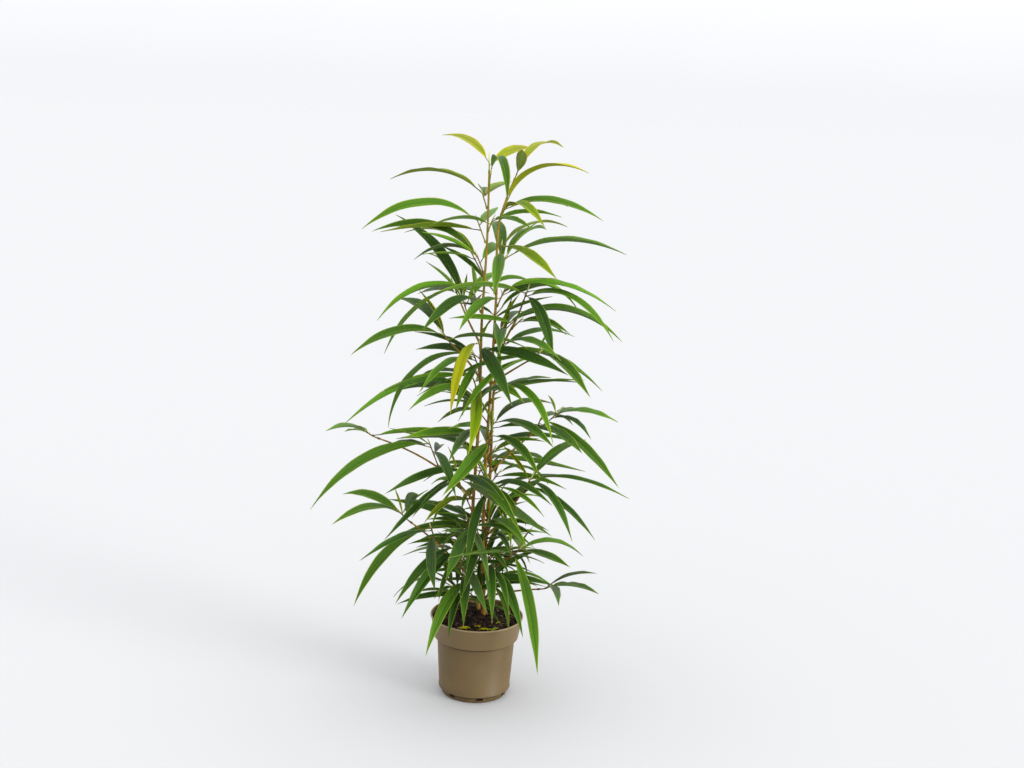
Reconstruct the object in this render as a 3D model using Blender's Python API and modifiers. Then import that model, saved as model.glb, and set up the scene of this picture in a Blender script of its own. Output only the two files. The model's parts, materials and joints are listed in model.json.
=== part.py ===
"""Potted ficus alii: three slender stems in a nursery pot, with side boughs and shoots of long leaves.

Metres, +Z up. X runs to the right, Y away from the front, and the origin is the centre of the
pot's flat underside. Angles are degrees: an azimuth is 0 to the right, 90 to the back, 180 to the
left and 270 to the front, and a rise is measured up from the level.

Each mass of foliage is one shoot: a twig that leaves its limb, and leaves along it. A shoot states
the heading and arch of its leading leaf and how far the others turn from it; a seeded rule gives
the rest. A leaf that has no room is turned a little, and skipped if it still touches something.
"""

import math
import random
from dataclasses import dataclass, replace

import bmesh
import bpy
from mathutils import Vector
from mathutils.bvhtree import BVHTree

COLLECTION = "potted_ficus_alii"
GAP = 0.0003  # between two pieces that touch on the real plant
MERGE = 0.00001

# Pot: a tapered body on a narrower foot, under a deep collar with a rolled lip
POT_HEIGHT = 0.152
RIM_RADIUS = 0.085
COLLAR_DEPTH = 0.041
COLLAR_FOOT_RADIUS = 0.079
BODY_TOP_RADIUS = 0.0725
BODY_FOOT_RADIUS = 0.0665
STEP_SLOPE = 0.0015
FOOT_HEIGHT = 0.0125
FOOT_TOP_RADIUS = 0.0625
FOOT_RADIUS = 0.0605
WALL = 0.0013
LIP_OVERHANG = 0.001
LIP_HEIGHT = 0.003
FLOOR_TOP = 0.0055
FOOT_RING_WIDTH = 0.008
BASE_PAD_RADIUS = 0.036
BASE_RECESS = 0.0035
POT_STEPS = 48

# Drain slots in the foot
SLOT_COUNT = 7
SLOT_FIRST_AZIMUTH = 281.4
SLOT_WIDTH = 0.013
SLOT_FOOT = 0.0065
SLOT_TOP = 0.0118
SLOT_DEPTH = 0.016

# Soil: level in the middle, where the stems stand, and lower round the wall
SOIL_TOP = 0.150
SOIL_SHOULDER = 0.1465
SOIL_EDGE = 0.141
SOIL_LEVEL_RADIUS = 0.046

# Limbs
ARCH_STEPS = 40
LIMB_STATIONS = 15
FLARE = 1.3
FLARE_HEIGHT = 0.025
BOUGH_STATIONS = 8
BOUGH_RADIUS = 0.0021
BOUGH_TIP_RADIUS = 0.0014
LIMB_ROUNDNESS = 2

# Twigs
TWIG_RADIUS = 0.0013
TWIG_TIP_RADIUS = 0.0010
TWIG_STATIONS = 4
TWIG_RISE = 68.0
BUD_LENGTH = 0.012
LEADER_BUD_LENGTH = 0.022
BUD_TIP_RADIUS = 0.0003
FIRST_NODE = 0.3  # share of a twig below its lowest leaf

# Leaves
LEAF_LENGTH = 0.205
LEAF_WIDTH_SHARE = 0.112
PETIOLE_SHARE = 0.085
PETIOLE_RADIUS = 0.0011
THICKNESS_SHARE = 0.0105
FOLD = 30.0
WIDEST_AT = 0.36
TIP_POWER = 1.05
EARLY_BEND = 1.35
BLADE_STATIONS = (0.0, 0.12, 0.36, 0.62, 0.85, 1.0)
TIP_HALF_WIDTH = 0.0005
TIP_THINNING = 0.4

# How a leading leaf varies: it is rolled about its midrib and swept sideways, in degrees
LEAD_ROLL = 18.0
LEAD_SWEEP = 8.0

# How a side leaf varies about its shoot's own rise and about its turn
SIDE_RISE = 12.0
SIDE_RISE_SHARE = 0.5
SIDE_RISE_SPREAD = 13.0
SIDE_RISE_LEAST = -10.0
SIDE_RISE_MOST = 55.0
SIDE_TURN_SPREAD = 8.0
SIDE_FALL = 22.0
SIDE_FALL_SHARE = 0.7
SIDE_FALL_SPREAD = 14.0
SIDE_FALL_LEAST = 8.0
SIDE_LENGTH_SHARES = (0.82, 1.06)
SIDE_ROLL = 28.0
SIDE_SWEEP = 12.0

# Room for a leaf
SWELL = 0.0008
TRIES = 16
TURN_STEP = 3.0
LOWEST_LEAF = 0.012

TIP = None  # a shoot that grows on from the end of its limb


@dataclass(frozen=True)
class Stem:
    """A stem through a few points, from its foot on the soil to its tip."""

    name: str
    foot_radius: float
    tip_radius: float
    route: tuple


@dataclass(frozen=True)
class Bough:
    """A side limb that leaves its stem at a height and arches out to its tip."""

    name: str
    stem: str
    height: float
    azimuth: float
    rise: float
    fall: float
    length: float


@dataclass(frozen=True)
class Shoot:
    """A twig and its leaves: the leading leaf's heading, arch and length, and the others' turns."""

    limb: str
    height: float
    azimuth: float
    rise: float
    fall: float
    turns: tuple
    reach: float = LEAF_LENGTH
    twig: float = 0.036
    seed: int = 0


@dataclass(frozen=True)
class Leaf:
    """One leaf's root, heading, arch and length."""

    root: Vector
    azimuth: float
    rise: float
    fall: float
    length: float
    roll: float
    sweep: float


STEMS = (
    Stem(
        "stem_left",
        0.0040,
        0.0017,
        (
            (-0.025, 0.004, SOIL_TOP + GAP),
            (-0.025, 0.004, 0.165),
            (-0.017, 0.006, 0.235),
            (-0.015, 0.007, 0.370),
            (-0.010, 0.008, 0.540),
            (-0.012, 0.009, 0.700),
            (-0.008, 0.009, 0.840),
            (-0.009, 0.009, 0.972),
        ),
    ),
    Stem(
        "stem_right",
        0.0037,
        0.0015,
        (
            (0.012, 0.006, SOIL_TOP + GAP),
            (0.012, 0.006, 0.165),
            (0.006, 0.008, 0.290),
            (0.005, 0.009, 0.410),
            (0.008, 0.009, 0.560),
            (0.012, 0.010, 0.740),
            (0.010, 0.010, 0.860),
            (0.020, 0.009, 0.915),
            (0.036, 0.008, 0.960),
        ),
    ),
    Stem(
        "stem_back",
        0.0034,
        0.0015,
        (
            (0.002, 0.032, SOIL_TOP + GAP),
            (0.002, 0.032, 0.165),
            (0.012, 0.028, 0.300),
            (0.014, 0.026, 0.450),
            (0.014, 0.026, 0.570),
            (0.024, 0.022, 0.650),
            (0.049, 0.016, 0.708),
            (0.061, 0.012, 0.744),
        ),
    ),
)

BOUGHS = (
    Bough("bough_left_1", "stem_left", 0.228, 195, 52, 14, 0.150),
    Bough("bough_left_2", "stem_left", 0.376, 184, 50, 32, 0.205),
    Bough("bough_left_3", "stem_left", 0.606, 168, 54, 14, 0.072),
    Bough("bough_left_4", "stem_left", 0.668, 160, 56, -8, 0.084),
    Bough("bough_right_1", "stem_right", 0.184, 334, 26, 12, 0.115),
    Bough("bough_right_2", "stem_right", 0.226, 320, 50, 14, 0.076),
    Bough("bough_right_3", "stem_right", 0.302, 350, 46, -16, 0.115),
    Bough("bough_right_4", "stem_right", 0.418, 12, 50, 12, 0.145),
    Bough("bough_right_5", "stem_right", 0.594, 344, 38, 4, 0.080),
)

SHOOTS = (
    # The left stem, from its tip down
    Shoot("stem_left", TIP, 118, 32, 37, (-50,), reach=0.195, twig=0.014, seed=68),
    Shoot("stem_left", 0.950, 285, 72, 165, (), reach=0.160, twig=0.020, seed=386),
    Shoot("stem_left", 0.908, 152, 38, 62, (-76, -50), twig=0.026, seed=301),
    Shoot("stem_left", 0.848, 187, 37, 77, (-100, 0), reach=0.220, twig=0.040, seed=431),
    Shoot("stem_left", 0.794, 181, 51, 72, (-50, -110), twig=0.030, seed=807),
    Shoot("stem_left", 0.723, 197, 34, 84, (38, -100), reach=0.200, twig=0.030, seed=68),
    Shoot("stem_left", 0.643, 255, 20, 94, (37, 70), reach=0.200, twig=0.024, seed=506),
    Shoot("stem_left", 0.620, 204, 17, 99, (-66, 45), reach=0.230, twig=0.026, seed=200),
    Shoot("stem_left", 0.577, 190, 4, 46, (-60, -110, 90), reach=0.255, twig=0.030, seed=425),
    Shoot("stem_left", 0.537, 238, 38, 63, (-96, -21, 70), reach=0.200, twig=0.032, seed=815),
    Shoot("stem_left", 0.480, 262, 15, 30, (-30, -115), twig=0.030, seed=508),
    Shoot("stem_left", 0.396, 230, 18, 34, (56, -5), twig=0.034, seed=306),
    Shoot("stem_left", 0.306, 260, -9, 0, (30, 60, -110), reach=0.215, twig=0.028, seed=379),
    Shoot("stem_left", 0.194, 270, 28, 61, (-19, 90), reach=0.190, twig=0.030, seed=293),
    # The left boughs
    Shoot("bough_left_4", TIP, 156, -20, 43, (-80, -40), twig=0.022, seed=699),
    Shoot("bough_left_4", 0.715, 151, 67, 47, (-40, -80), reach=0.210, twig=0.024, seed=415),
    Shoot("bough_left_3", TIP, 208, 26, 60, (-86, 110), reach=0.195, twig=0.022, seed=743),
    Shoot("bough_left_2", TIP, 254, 26, 22, (-136, 110), reach=0.185, twig=0.024, seed=348),
    Shoot("bough_left_2", 0.433, 198, 5, 58, (-60, 80, -110), reach=0.255, twig=0.045, seed=631),
    Shoot("bough_left_2", 0.401, 235, -22, -7, (70, 110), reach=0.230, twig=0.024, seed=64),
    Shoot("bough_left_1", TIP, 234, 34, 46, (-99, 54), twig=0.024, seed=686),
    Shoot("bough_left_1", 0.296, 214, -3, 62, (25, 52), reach=0.210, twig=0.026, seed=365),
    Shoot("bough_left_1", 0.248, 240, 7, 39, (-119, 0, 50), twig=0.040, seed=667),
    # The right stem, from its tip down
    Shoot("stem_right", TIP, 64, 46, 63, (-135,), twig=0.014, seed=87),
    Shoot("stem_right", 0.891, 319, 70, 87, (30, 85, -30), reach=0.210, twig=0.026, seed=228),
    Shoot("stem_right", 0.816, 299, 4, 23, (121, -23), twig=0.030, seed=461),
    Shoot("stem_right", 0.793, 352, 38, 59, (64, 100), reach=0.225, twig=0.028, seed=340),
    Shoot("stem_right", 0.735, 343, 29, 62, (30, 60, -100), reach=0.215, twig=0.030, seed=855),
    Shoot("stem_right", 0.668, 352, 47, 87, (-82, 90), reach=0.240, twig=0.028, seed=750),
    Shoot("stem_right", 0.558, 309, 30, 87, (18, 75, 110), reach=0.210, twig=0.030, seed=873),
    Shoot("stem_right", 0.490, 304, 23, 38, (109, 70, -60), reach=0.215, twig=0.034, seed=583),
    Shoot("stem_right", 0.465, 300, 13, 36, (-42, 70), reach=0.200, twig=0.036, seed=305),
    Shoot("stem_right", 0.373, 302, 31, 45, (-51, 90), twig=0.030, seed=79),
    Shoot("stem_right", 0.300, 291, 34, 51, (-53, -110, 110), reach=0.200, twig=0.032, seed=584),
    Shoot("stem_right", 0.214, 277, 35, 80, (5, 13), twig=0.034, seed=802),
    # The back stem
    Shoot("stem_back", TIP, 327, 19, 67, (-111, -40, 80), reach=0.210, twig=0.018, seed=133),
    Shoot("stem_back", 0.640, 300, 26, 41, (115, 38), reach=0.210, twig=0.026, seed=18),
    Shoot("stem_back", 0.420, 100, 30, 60, (-90, 70, -50), twig=0.034, seed=156),
    Shoot("stem_back", 0.280, 85, 25, 55, (60, 90, -30), twig=0.034, seed=843),
    # The right boughs
    Shoot("bough_right_5", TIP, 294, 10, 37, (-100, -60), twig=0.024, seed=687),
    Shoot("bough_right_4", TIP, 300, 23, 25, (128, -10), twig=0.024, seed=963),
    Shoot("bough_right_4", 0.504, 322, -10, 28, (108, -30), reach=0.210, twig=0.024, seed=22),
    Shoot("bough_right_3", TIP, 327, 23, 41, (-25, 89, -3), twig=0.026, seed=927),
    Shoot("bough_right_2", 0.277, 313, -44, 32, (), reach=0.235, twig=0.018, seed=224),
    Shoot("bough_right_2", TIP, 299, 16, 11, (100, -70, -30), reach=0.200, twig=0.030, seed=471),
    Shoot("bough_right_1", TIP, 295, 25, 15, (-11, 7), twig=0.024, seed=88),
)


# Directions and arches


def heading(azimuth, rise):
    """Unit vector of an azimuth and a rise."""
    around, up = math.radians(azimuth), math.radians(rise)
    return Vector((math.cos(up) * math.cos(around), math.cos(up) * math.sin(around), math.sin(up)))


def bent_rise(rise, fall, share):
    """Rise of an arching shape at a share of its length: it bends more near its root."""
    return rise - fall * share * (EARLY_BEND - (EARLY_BEND - 1.0) * share)


def arch(root, azimuth, rise, fall, length, shares, sweep=0.0):
    """Points and tangents of an arching line at the given shares of its length."""
    line = [root]
    for step in range(ARCH_STEPS):
        middle = (step + 0.5) / ARCH_STEPS
        tangent = heading(azimuth + sweep * middle, bent_rise(rise, fall, middle))
        line.append(line[-1] + tangent * (length / ARCH_STEPS))
    places = []
    for share in shares:
        whole = min(int(share * ARCH_STEPS), ARCH_STEPS - 1)
        where = line[whole].lerp(line[whole + 1], share * ARCH_STEPS - whole)
        places.append((where, heading(azimuth + sweep * share, bent_rise(rise, fall, share))))
    return places


def even_shares(count):
    """Shares from 0 to 1 for a line of count points."""
    return [i / (count - 1) for i in range(count)]


def smooth_route(route, count):
    """Points of a smooth curve through the route's own points, starting straight up."""
    marks = [Vector(point) for point in route]
    marks = [2 * marks[0] - marks[1]] + marks + [2 * marks[-1] - marks[-2]]
    spans = len(route) - 1
    points = []
    for share in even_shares(count):
        place = share * spans
        i = min(int(place), spans - 1)
        t = place - i
        before, start, end, after = marks[i : i + 4]
        points.append(
            0.5
            * (
                2 * start
                + (end - before) * t
                + (2 * before - 5 * start + 4 * end - after) * t**2
                + (3 * start - before - 3 * end + after) * t**3
            )
        )
    points[0] = marks[1]
    points[1] = Vector((marks[1].x, marks[1].y, points[1].z))
    return points


# Objects


def principled(name, colour, roughness, metallic=0.0):
    """A plain Principled material."""
    material = bpy.data.materials.new(name)
    material.use_nodes = True
    shader = material.node_tree.nodes["Principled BSDF"]
    shader.inputs["Base Color"].default_value = (*colour, 1.0)
    shader.inputs["Roughness"].default_value = roughness
    shader.inputs["Metallic"].default_value = metallic
    return material


def add_object(name, data, collection, material=None):
    """An object of a mesh or curve, linked to a collection."""
    item = bpy.data.objects.new(name, data)
    collection.objects.link(item)
    if material:
        data.materials.append(material)
    return item


def evaluated_mesh(item):
    """A mesh of an object as its modifiers and curve settings leave it, in world space."""
    bpy.context.view_layer.update()
    depsgraph = bpy.context.evaluated_depsgraph_get()
    mesh = bpy.data.meshes.new_from_object(item.evaluated_get(depsgraph))
    mesh.transform(item.matrix_world)
    return mesh


def tube(name, points, radii, roundness, collection, material):
    """A tapering tube: a poly curve with a radius at each point and filled caps."""
    curve = bpy.data.curves.new(name, "CURVE")
    curve.dimensions = "3D"
    curve.bevel_depth = 1.0
    curve.bevel_resolution = roundness
    curve.use_fill_caps = True
    spline = curve.splines.new("POLY")
    spline.points.add(len(points) - 1)
    for place, point, radius in zip(spline.points, points, radii):
        place.co = (*point, 1.0)
        place.radius = radius
    return add_object(name, curve, collection, material)


def as_mesh(item, collection):
    """The curve object made a mesh object with welded caps; the curve is removed."""
    name = item.name
    mesh = evaluated_mesh(item)
    work = bmesh.new()
    work.from_mesh(mesh)
    bmesh.ops.remove_doubles(work, verts=work.verts, dist=MERGE)
    bmesh.ops.recalc_face_normals(work, faces=work.faces)
    work.to_mesh(mesh)
    work.free()
    bpy.data.objects.remove(item)
    return add_object(name, mesh, collection)


def turned(name, profile, collection, material):
    """A profile of (radius, height) points turned about the Z axis."""
    mesh = bpy.data.meshes.new(name)
    points = [(radius, 0.0, height) for radius, height in profile]
    mesh.from_pydata(points, [(i, i + 1) for i in range(len(points) - 1)], [])
    item = add_object(name, mesh, collection, material)
    screw = item.modifiers.new("turn", "SCREW")
    screw.steps = POT_STEPS
    screw.render_steps = POT_STEPS
    screw.use_merge_vertices = True
    screw.merge_threshold = MERGE
    return item


# The pot and its soil


def pot_profile():
    """The pot's half section, from the middle of its floor over the lip to the underside."""
    step_z = POT_HEIGHT - COLLAR_DEPTH
    return (
        (0.0, FLOOR_TOP),
        (FOOT_TOP_RADIUS - WALL, FLOOR_TOP),
        (FOOT_TOP_RADIUS - WALL, FOOT_HEIGHT + WALL),
        (BODY_FOOT_RADIUS - WALL, FOOT_HEIGHT + WALL),
        (BODY_TOP_RADIUS - WALL, step_z + STEP_SLOPE + WALL),
        (COLLAR_FOOT_RADIUS - WALL, step_z + WALL),
        (RIM_RADIUS - WALL, POT_HEIGHT),
        (RIM_RADIUS + LIP_OVERHANG, POT_HEIGHT),
        (RIM_RADIUS + LIP_OVERHANG, POT_HEIGHT - LIP_HEIGHT),
        (RIM_RADIUS - LIP_OVERHANG / 2, POT_HEIGHT - LIP_HEIGHT - LIP_OVERHANG),
        (COLLAR_FOOT_RADIUS, step_z),
        (BODY_TOP_RADIUS, step_z + STEP_SLOPE),
        (BODY_FOOT_RADIUS, FOOT_HEIGHT),
        (FOOT_TOP_RADIUS, FOOT_HEIGHT),
        (FOOT_RADIUS, 0.0),
        (FOOT_RADIUS - FOOT_RING_WIDTH, 0.0),
        (FOOT_RADIUS - FOOT_RING_WIDTH, BASE_RECESS),
        (BASE_PAD_RADIUS, BASE_RECESS),
        (BASE_PAD_RADIUS, 0.0),
        (0.0, 0.0),
    )


def make_pot(collection, cutters):
    """The nursery pot, with its drain slots cut through the foot."""
    plastic = principled("taupe_plastic", (0.27, 0.21, 0.145), 0.45)
    pot = turned("nursery_pot", pot_profile(), collection, plastic)
    for index in range(SLOT_COUNT):
        angle = math.radians(SLOT_FIRST_AZIMUTH + index * 360 / SLOT_COUNT)
        mesh = bpy.data.meshes.new(f"slot_cutter_{index}")
        work = bmesh.new()
        bmesh.ops.create_cube(work, size=1.0)
        bmesh.ops.scale(work, vec=(SLOT_DEPTH, SLOT_WIDTH, SLOT_TOP - SLOT_FOOT), verts=work.verts)
        work.to_mesh(mesh)
        work.free()
        cutter = add_object(mesh.name, mesh, cutters)
        middle = (SLOT_FOOT + SLOT_TOP) / 2
        cutter.location = (FOOT_RADIUS * math.cos(angle), FOOT_RADIUS * math.sin(angle), middle)
        cutter.rotation_euler.z = angle
        cutter.display_type = "WIRE"
        cutter.hide_render = True
    cut = pot.modifiers.new("drain_slots", "BOOLEAN")
    cut.operation = "DIFFERENCE"
    cut.operand_type = "COLLECTION"
    cut.collection = cutters
    cut.solver = "EXACT"
    return pot


def make_soil(collection):
    """The soil, which fills the pot's inside to a little below the lip."""
    peat = principled("dark_peat", (0.032, 0.02, 0.012), 0.95)
    step_z = POT_HEIGHT - COLLAR_DEPTH
    inset = WALL + GAP
    collar_slope = (RIM_RADIUS - COLLAR_FOOT_RADIUS) / COLLAR_DEPTH
    edge_radius = COLLAR_FOOT_RADIUS + collar_slope * (SOIL_EDGE - step_z) - inset - GAP
    profile = (
        (0.0, SOIL_TOP),
        (SOIL_LEVEL_RADIUS, SOIL_TOP),
        ((SOIL_LEVEL_RADIUS + edge_radius) / 2, SOIL_SHOULDER),
        (edge_radius, SOIL_EDGE),
        (COLLAR_FOOT_RADIUS - inset - GAP, step_z + WALL + GAP + STEP_SLOPE),
        (BODY_TOP_RADIUS - inset - GAP, step_z + WALL + GAP + 2 * STEP_SLOPE),
        (BODY_FOOT_RADIUS - inset - GAP, FOOT_HEIGHT + WALL + GAP),
        (FOOT_TOP_RADIUS - inset, FOOT_HEIGHT + WALL + GAP),
        (FOOT_TOP_RADIUS - inset, FLOOR_TOP + GAP),
        (0.0, FLOOR_TOP + GAP),
    )
    return turned("potting_soil", profile, collection, peat)


# Limbs


class Limb:
    """A placed limb: its points and radii, and where twigs leave it."""

    def __init__(self, name, points, radii):
        self.name = name
        self.points = points
        self.radii = radii

    def at(self, height):
        """Point, direction and radius where the limb passes a height."""
        for i in range(len(self.points) - 1):
            low, high = self.points[i], self.points[i + 1]
            if low.z <= height <= high.z:
                t = (height - low.z) / (high.z - low.z)
                radius = self.radii[i] * (1 - t) + self.radii[i + 1] * t
                return low.lerp(high, t), (high - low).normalized(), radius
        raise ValueError(f"{self.name} doesn't pass {height}")

    def side_start(self, height, direction, radius):
        """Where a branch of the given direction and radius starts, just clear of the limb."""
        centre, along, own_radius = self.at(height)
        out = (direction - direction.dot(along) * along).normalized()
        lean = math.sqrt(max(0.0, 1.0 - direction.dot(out) ** 2))
        return centre + out * (own_radius + GAP + radius * lean)

    def end(self):
        """The start and direction of what grows on from the limb's tip."""
        along = (self.points[-1] - self.points[-2]).normalized()
        return self.points[-1] + along * GAP, along


def stem_limb(stem):
    """The limb of a stem, flared at its foot."""
    points = smooth_route(stem.route, LIMB_STATIONS)
    radii = []
    for point, share in zip(points, even_shares(LIMB_STATIONS)):
        radius = stem.foot_radius * (1 - share) + stem.tip_radius * share
        near_foot = max(0.0, 1.0 - (point.z - SOIL_TOP) / FLARE_HEIGHT)
        radii.append(radius * (1 + (FLARE - 1) * near_foot))
    return Limb(stem.name, points, radii)


def bough_limb(bough, limbs):
    """The limb of a bough, from just clear of its stem to its tip."""
    direction = heading(bough.azimuth, bough.rise)
    root = limbs[bough.stem].side_start(bough.height, direction, BOUGH_RADIUS)
    shares = even_shares(BOUGH_STATIONS)
    line = arch(root, bough.azimuth, bough.rise, bough.fall, bough.length, shares)
    radii = [BOUGH_RADIUS * (1 - share) + BOUGH_TIP_RADIUS * share for share in shares]
    return Limb(bough.name, [point for point, _ in line], radii)


def grow_limbs():
    """Every stem and bough by name."""
    limbs = {stem.name: stem_limb(stem) for stem in STEMS}
    for bough in BOUGHS:
        limbs[bough.name] = bough_limb(bough, limbs)
    return limbs


# Twigs and leaves


class Twig:
    """A shoot's twig: its points and radii, with a pointed bud at its end."""

    def __init__(self, name, shoot, limbs):
        self.name = name
        self.shoot = shoot
        self.limb = limbs[shoot.limb]
        towards = heading(shoot.azimuth, TWIG_RISE)
        if shoot.height is TIP:
            root, along = self.limb.end()
            bud = LEADER_BUD_LENGTH
        else:
            root = self.limb.side_start(shoot.height, towards, TWIG_RADIUS)
            along = towards
            bud = BUD_LENGTH
        self.points = [root]
        for share in even_shares(TWIG_STATIONS)[:-1]:
            step = along.lerp(towards, share / 2).normalized() * shoot.twig / (TWIG_STATIONS - 1)
            self.points.append(self.points[-1] + step)
        last = (self.points[-1] - self.points[-2]).normalized()
        self.radii = [
            TWIG_RADIUS * (1 - share) + TWIG_TIP_RADIUS * share for share in even_shares(TWIG_STATIONS)
        ]
        self.points.append(self.points[-1] + last * bud)
        self.radii.append(BUD_TIP_RADIUS)

    def node(self, share):
        """The place of a leaf at a share of the twig, below its bud."""
        place = share * (TWIG_STATIONS - 1)
        whole = min(int(place), TWIG_STATIONS - 2)
        return self.points[whole].lerp(self.points[whole + 1], place - whole)


def half_width(share, widest):
    """A blade's half width at a share of its length: a long point at both ends."""
    power = TIP_POWER * WIDEST_AT / (1 - WIDEST_AT)
    rise = (share / WIDEST_AT) ** power
    return widest * rise * ((1 - share) / (1 - WIDEST_AT)) ** TIP_POWER


def leaf_rings(leaf, swell=0.0):
    """The leaf's sections, four points each: right edge, keel, left edge and groove."""
    widest = leaf.length * LEAF_WIDTH_SHARE / 2
    thickness = leaf.length * THICKNESS_SHARE
    fold = math.tan(math.radians(FOLD))
    shares = [0.0] + [PETIOLE_SHARE + (1 - PETIOLE_SHARE) * t for t in BLADE_STATIONS]
    line = arch(leaf.root, leaf.azimuth, leaf.rise, leaf.fall, leaf.length, shares, leaf.sweep)
    rings = []
    for (point, tangent), t in zip(line, (None, *BLADE_STATIONS)):
        level_side = heading(leaf.azimuth + 90, 0)
        side = (level_side - level_side.dot(tangent) * tangent).normalized()
        up = tangent.cross(side)
        turn = math.radians(leaf.roll)
        side, up = (
            side * math.cos(turn) + up * math.sin(turn),
            up * math.cos(turn) - side * math.sin(turn),
        )
        half, thick = PETIOLE_RADIUS, thickness
        if t is not None and t > 0:
            half = max(half_width(t, widest), TIP_HALF_WIDTH)
        if t == 1.0:
            thick = thickness * TIP_THINNING
        lift = max(0.0, half - PETIOLE_RADIUS) * fold
        half, thick = half + swell, thick + 2 * swell
        rings.append(
            (
                point - side * half + up * lift,
                point - up * thick / 2,
                point + side * half + up * lift,
                point + up * thick / 2,
            )
        )
    return rings


def loft(rings):
    """Points and triangles of a closed solid through rings of four points."""
    points = [point for ring in rings for point in ring]
    faces = [(0, 3, 1), (1, 3, 2)]
    for first in range(0, len(points) - 4, 4):
        for side in range(4):
            a, b = first + side, first + (side + 1) % 4
            if side % 2:
                faces += [(a, b, a + 4), (b, b + 4, a + 4)]
            else:
                faces += [(a, b, b + 4), (a, b + 4, a + 4)]
    end = len(points) - 4
    faces += [(end, end + 1, end + 3), (end + 1, end + 2, end + 3)]
    return points, faces


class Thicket:
    """What has been placed so far, and whether a new leaf has room beside it."""

    def __init__(self):
        self.solids = []
        self.blades = []

    def add_mesh(self, owner, mesh):
        """Remembers a limb, a twig or the pot."""
        points = [vertex.co for vertex in mesh.vertices]
        faces = [tuple(face.vertices) for face in mesh.polygons]
        self.solids.append((owner, BVHTree.FromPolygons(points, faces)))

    def add_leaf(self, owner, leaf):
        """Remembers a leaf, and its blade alone for its own shoot's leaves to keep clear of."""
        rings = leaf_rings(leaf)
        self.solids.append((owner, BVHTree.FromPolygons(*loft(rings))))
        self.blades.append((owner, BVHTree.FromPolygons(*loft(rings[2:]))))

    def has_room(self, owner, leaf):
        """True if the leaf, a little swollen, touches nothing but its own twig."""
        rings = leaf_rings(leaf, SWELL)
        if min(point.z for ring in rings for point in ring) < LOWEST_LEAF:
            return False
        whole = BVHTree.FromPolygons(*loft(rings))
        blade = BVHTree.FromPolygons(*loft(rings[2:]))
        strangers = (tree for name, tree in self.solids if name != owner)
        siblings = (tree for name, tree in self.blades if name == owner)
        return not any(whole.overlap(tree) for tree in strangers) and not any(
            blade.overlap(tree) for tree in siblings
        )


def with_room(owner, leaf, thicket, chance):
    """The leaf, turned a little further at each try until it has room, or None."""
    for attempt in range(TRIES):
        spread = TURN_STEP * attempt
        tried = replace(
            leaf,
            azimuth=leaf.azimuth + chance.uniform(-spread, spread),
            rise=leaf.rise + chance.uniform(-spread, spread),
        )
        if thicket.has_room(owner, tried):
            return tried
    return None


def leading_leaf(twig, chance):
    """The leaf at a twig's end, as its shoot states it."""
    shoot = twig.shoot
    return Leaf(
        twig.node(1.0),
        shoot.azimuth,
        shoot.rise,
        shoot.fall,
        shoot.reach,
        chance.uniform(-LEAD_ROLL, LEAD_ROLL),
        chance.uniform(-LEAD_SWEEP, LEAD_SWEEP),
    )


def side_leaf(twig, index, chance):
    """A leaf further down a twig, turned from the leading one."""
    shoot = twig.shoot
    share = 1.0 - (1.0 - FIRST_NODE) * (index + 1) / (len(shoot.turns) + 1)
    middle_rise = SIDE_RISE + SIDE_RISE_SHARE * shoot.rise
    rise = min(SIDE_RISE_MOST, max(SIDE_RISE_LEAST, middle_rise + chance.gauss(0, SIDE_RISE_SPREAD)))
    return Leaf(
        twig.node(share),
        shoot.azimuth + shoot.turns[index] + chance.uniform(-SIDE_TURN_SPREAD, SIDE_TURN_SPREAD),
        rise,
        max(SIDE_FALL_LEAST, SIDE_FALL + SIDE_FALL_SHARE * rise + chance.gauss(0, SIDE_FALL_SPREAD)),
        LEAF_LENGTH * chance.uniform(*SIDE_LENGTH_SHARES),
        chance.uniform(-SIDE_ROLL, SIDE_ROLL),
        chance.uniform(-SIDE_SWEEP, SIDE_SWEEP),
    )


def grow_leaves(twigs, thicket):
    """Every twig's leaves by its name: the leading leaves take their places first."""
    chances = {twig.name: random.Random(f"{twig.name} {twig.shoot.seed}") for twig in twigs}
    nudges = {twig.name: random.Random(twig.name) for twig in twigs}
    leaves = {twig.name: [] for twig in twigs}

    def place(twig, leaf):
        placed = with_room(twig.name, leaf, thicket, nudges[twig.name])
        if placed:
            thicket.add_leaf(twig.name, placed)
            leaves[twig.name].append(placed)

    for twig in twigs:
        place(twig, leading_leaf(twig, chances[twig.name]))
    for twig in twigs:
        for index in range(len(twig.shoot.turns)):
            place(twig, side_leaf(twig, index, chances[twig.name]))
    return leaves


def shoot_names():
    """A name for each shoot, numbered along its limb."""
    counts = {}
    names = []
    for shoot in SHOOTS:
        counts[shoot.limb] = counts.get(shoot.limb, 0) + 1
        names.append(f"foliage_{shoot.limb}_{counts[shoot.limb]:02d}")
    return names


def fuse(item, leaves, collection):
    """Joins a twig and its leaves into one solid, and removes the loose ones."""
    loose = bpy.data.collections.new(f"{item.name}_leaves")
    bpy.context.scene.collection.children.link(loose)
    for leaf in leaves:
        points, faces = loft(leaf_rings(leaf))
        mesh = bpy.data.meshes.new("leaf")
        mesh.from_pydata(points, [], faces)
        add_object("leaf", mesh, loose)
    union = item.modifiers.new("leaves", "BOOLEAN")
    union.operation = "UNION"
    union.operand_type = "COLLECTION"
    union.collection = loose
    union.solver = "EXACT"
    joined = evaluated_mesh(item)
    item.modifiers.clear()
    item.data = joined
    for leaf in list(loose.objects):
        bpy.data.objects.remove(leaf)
    bpy.data.collections.remove(loose)
    return item


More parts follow.
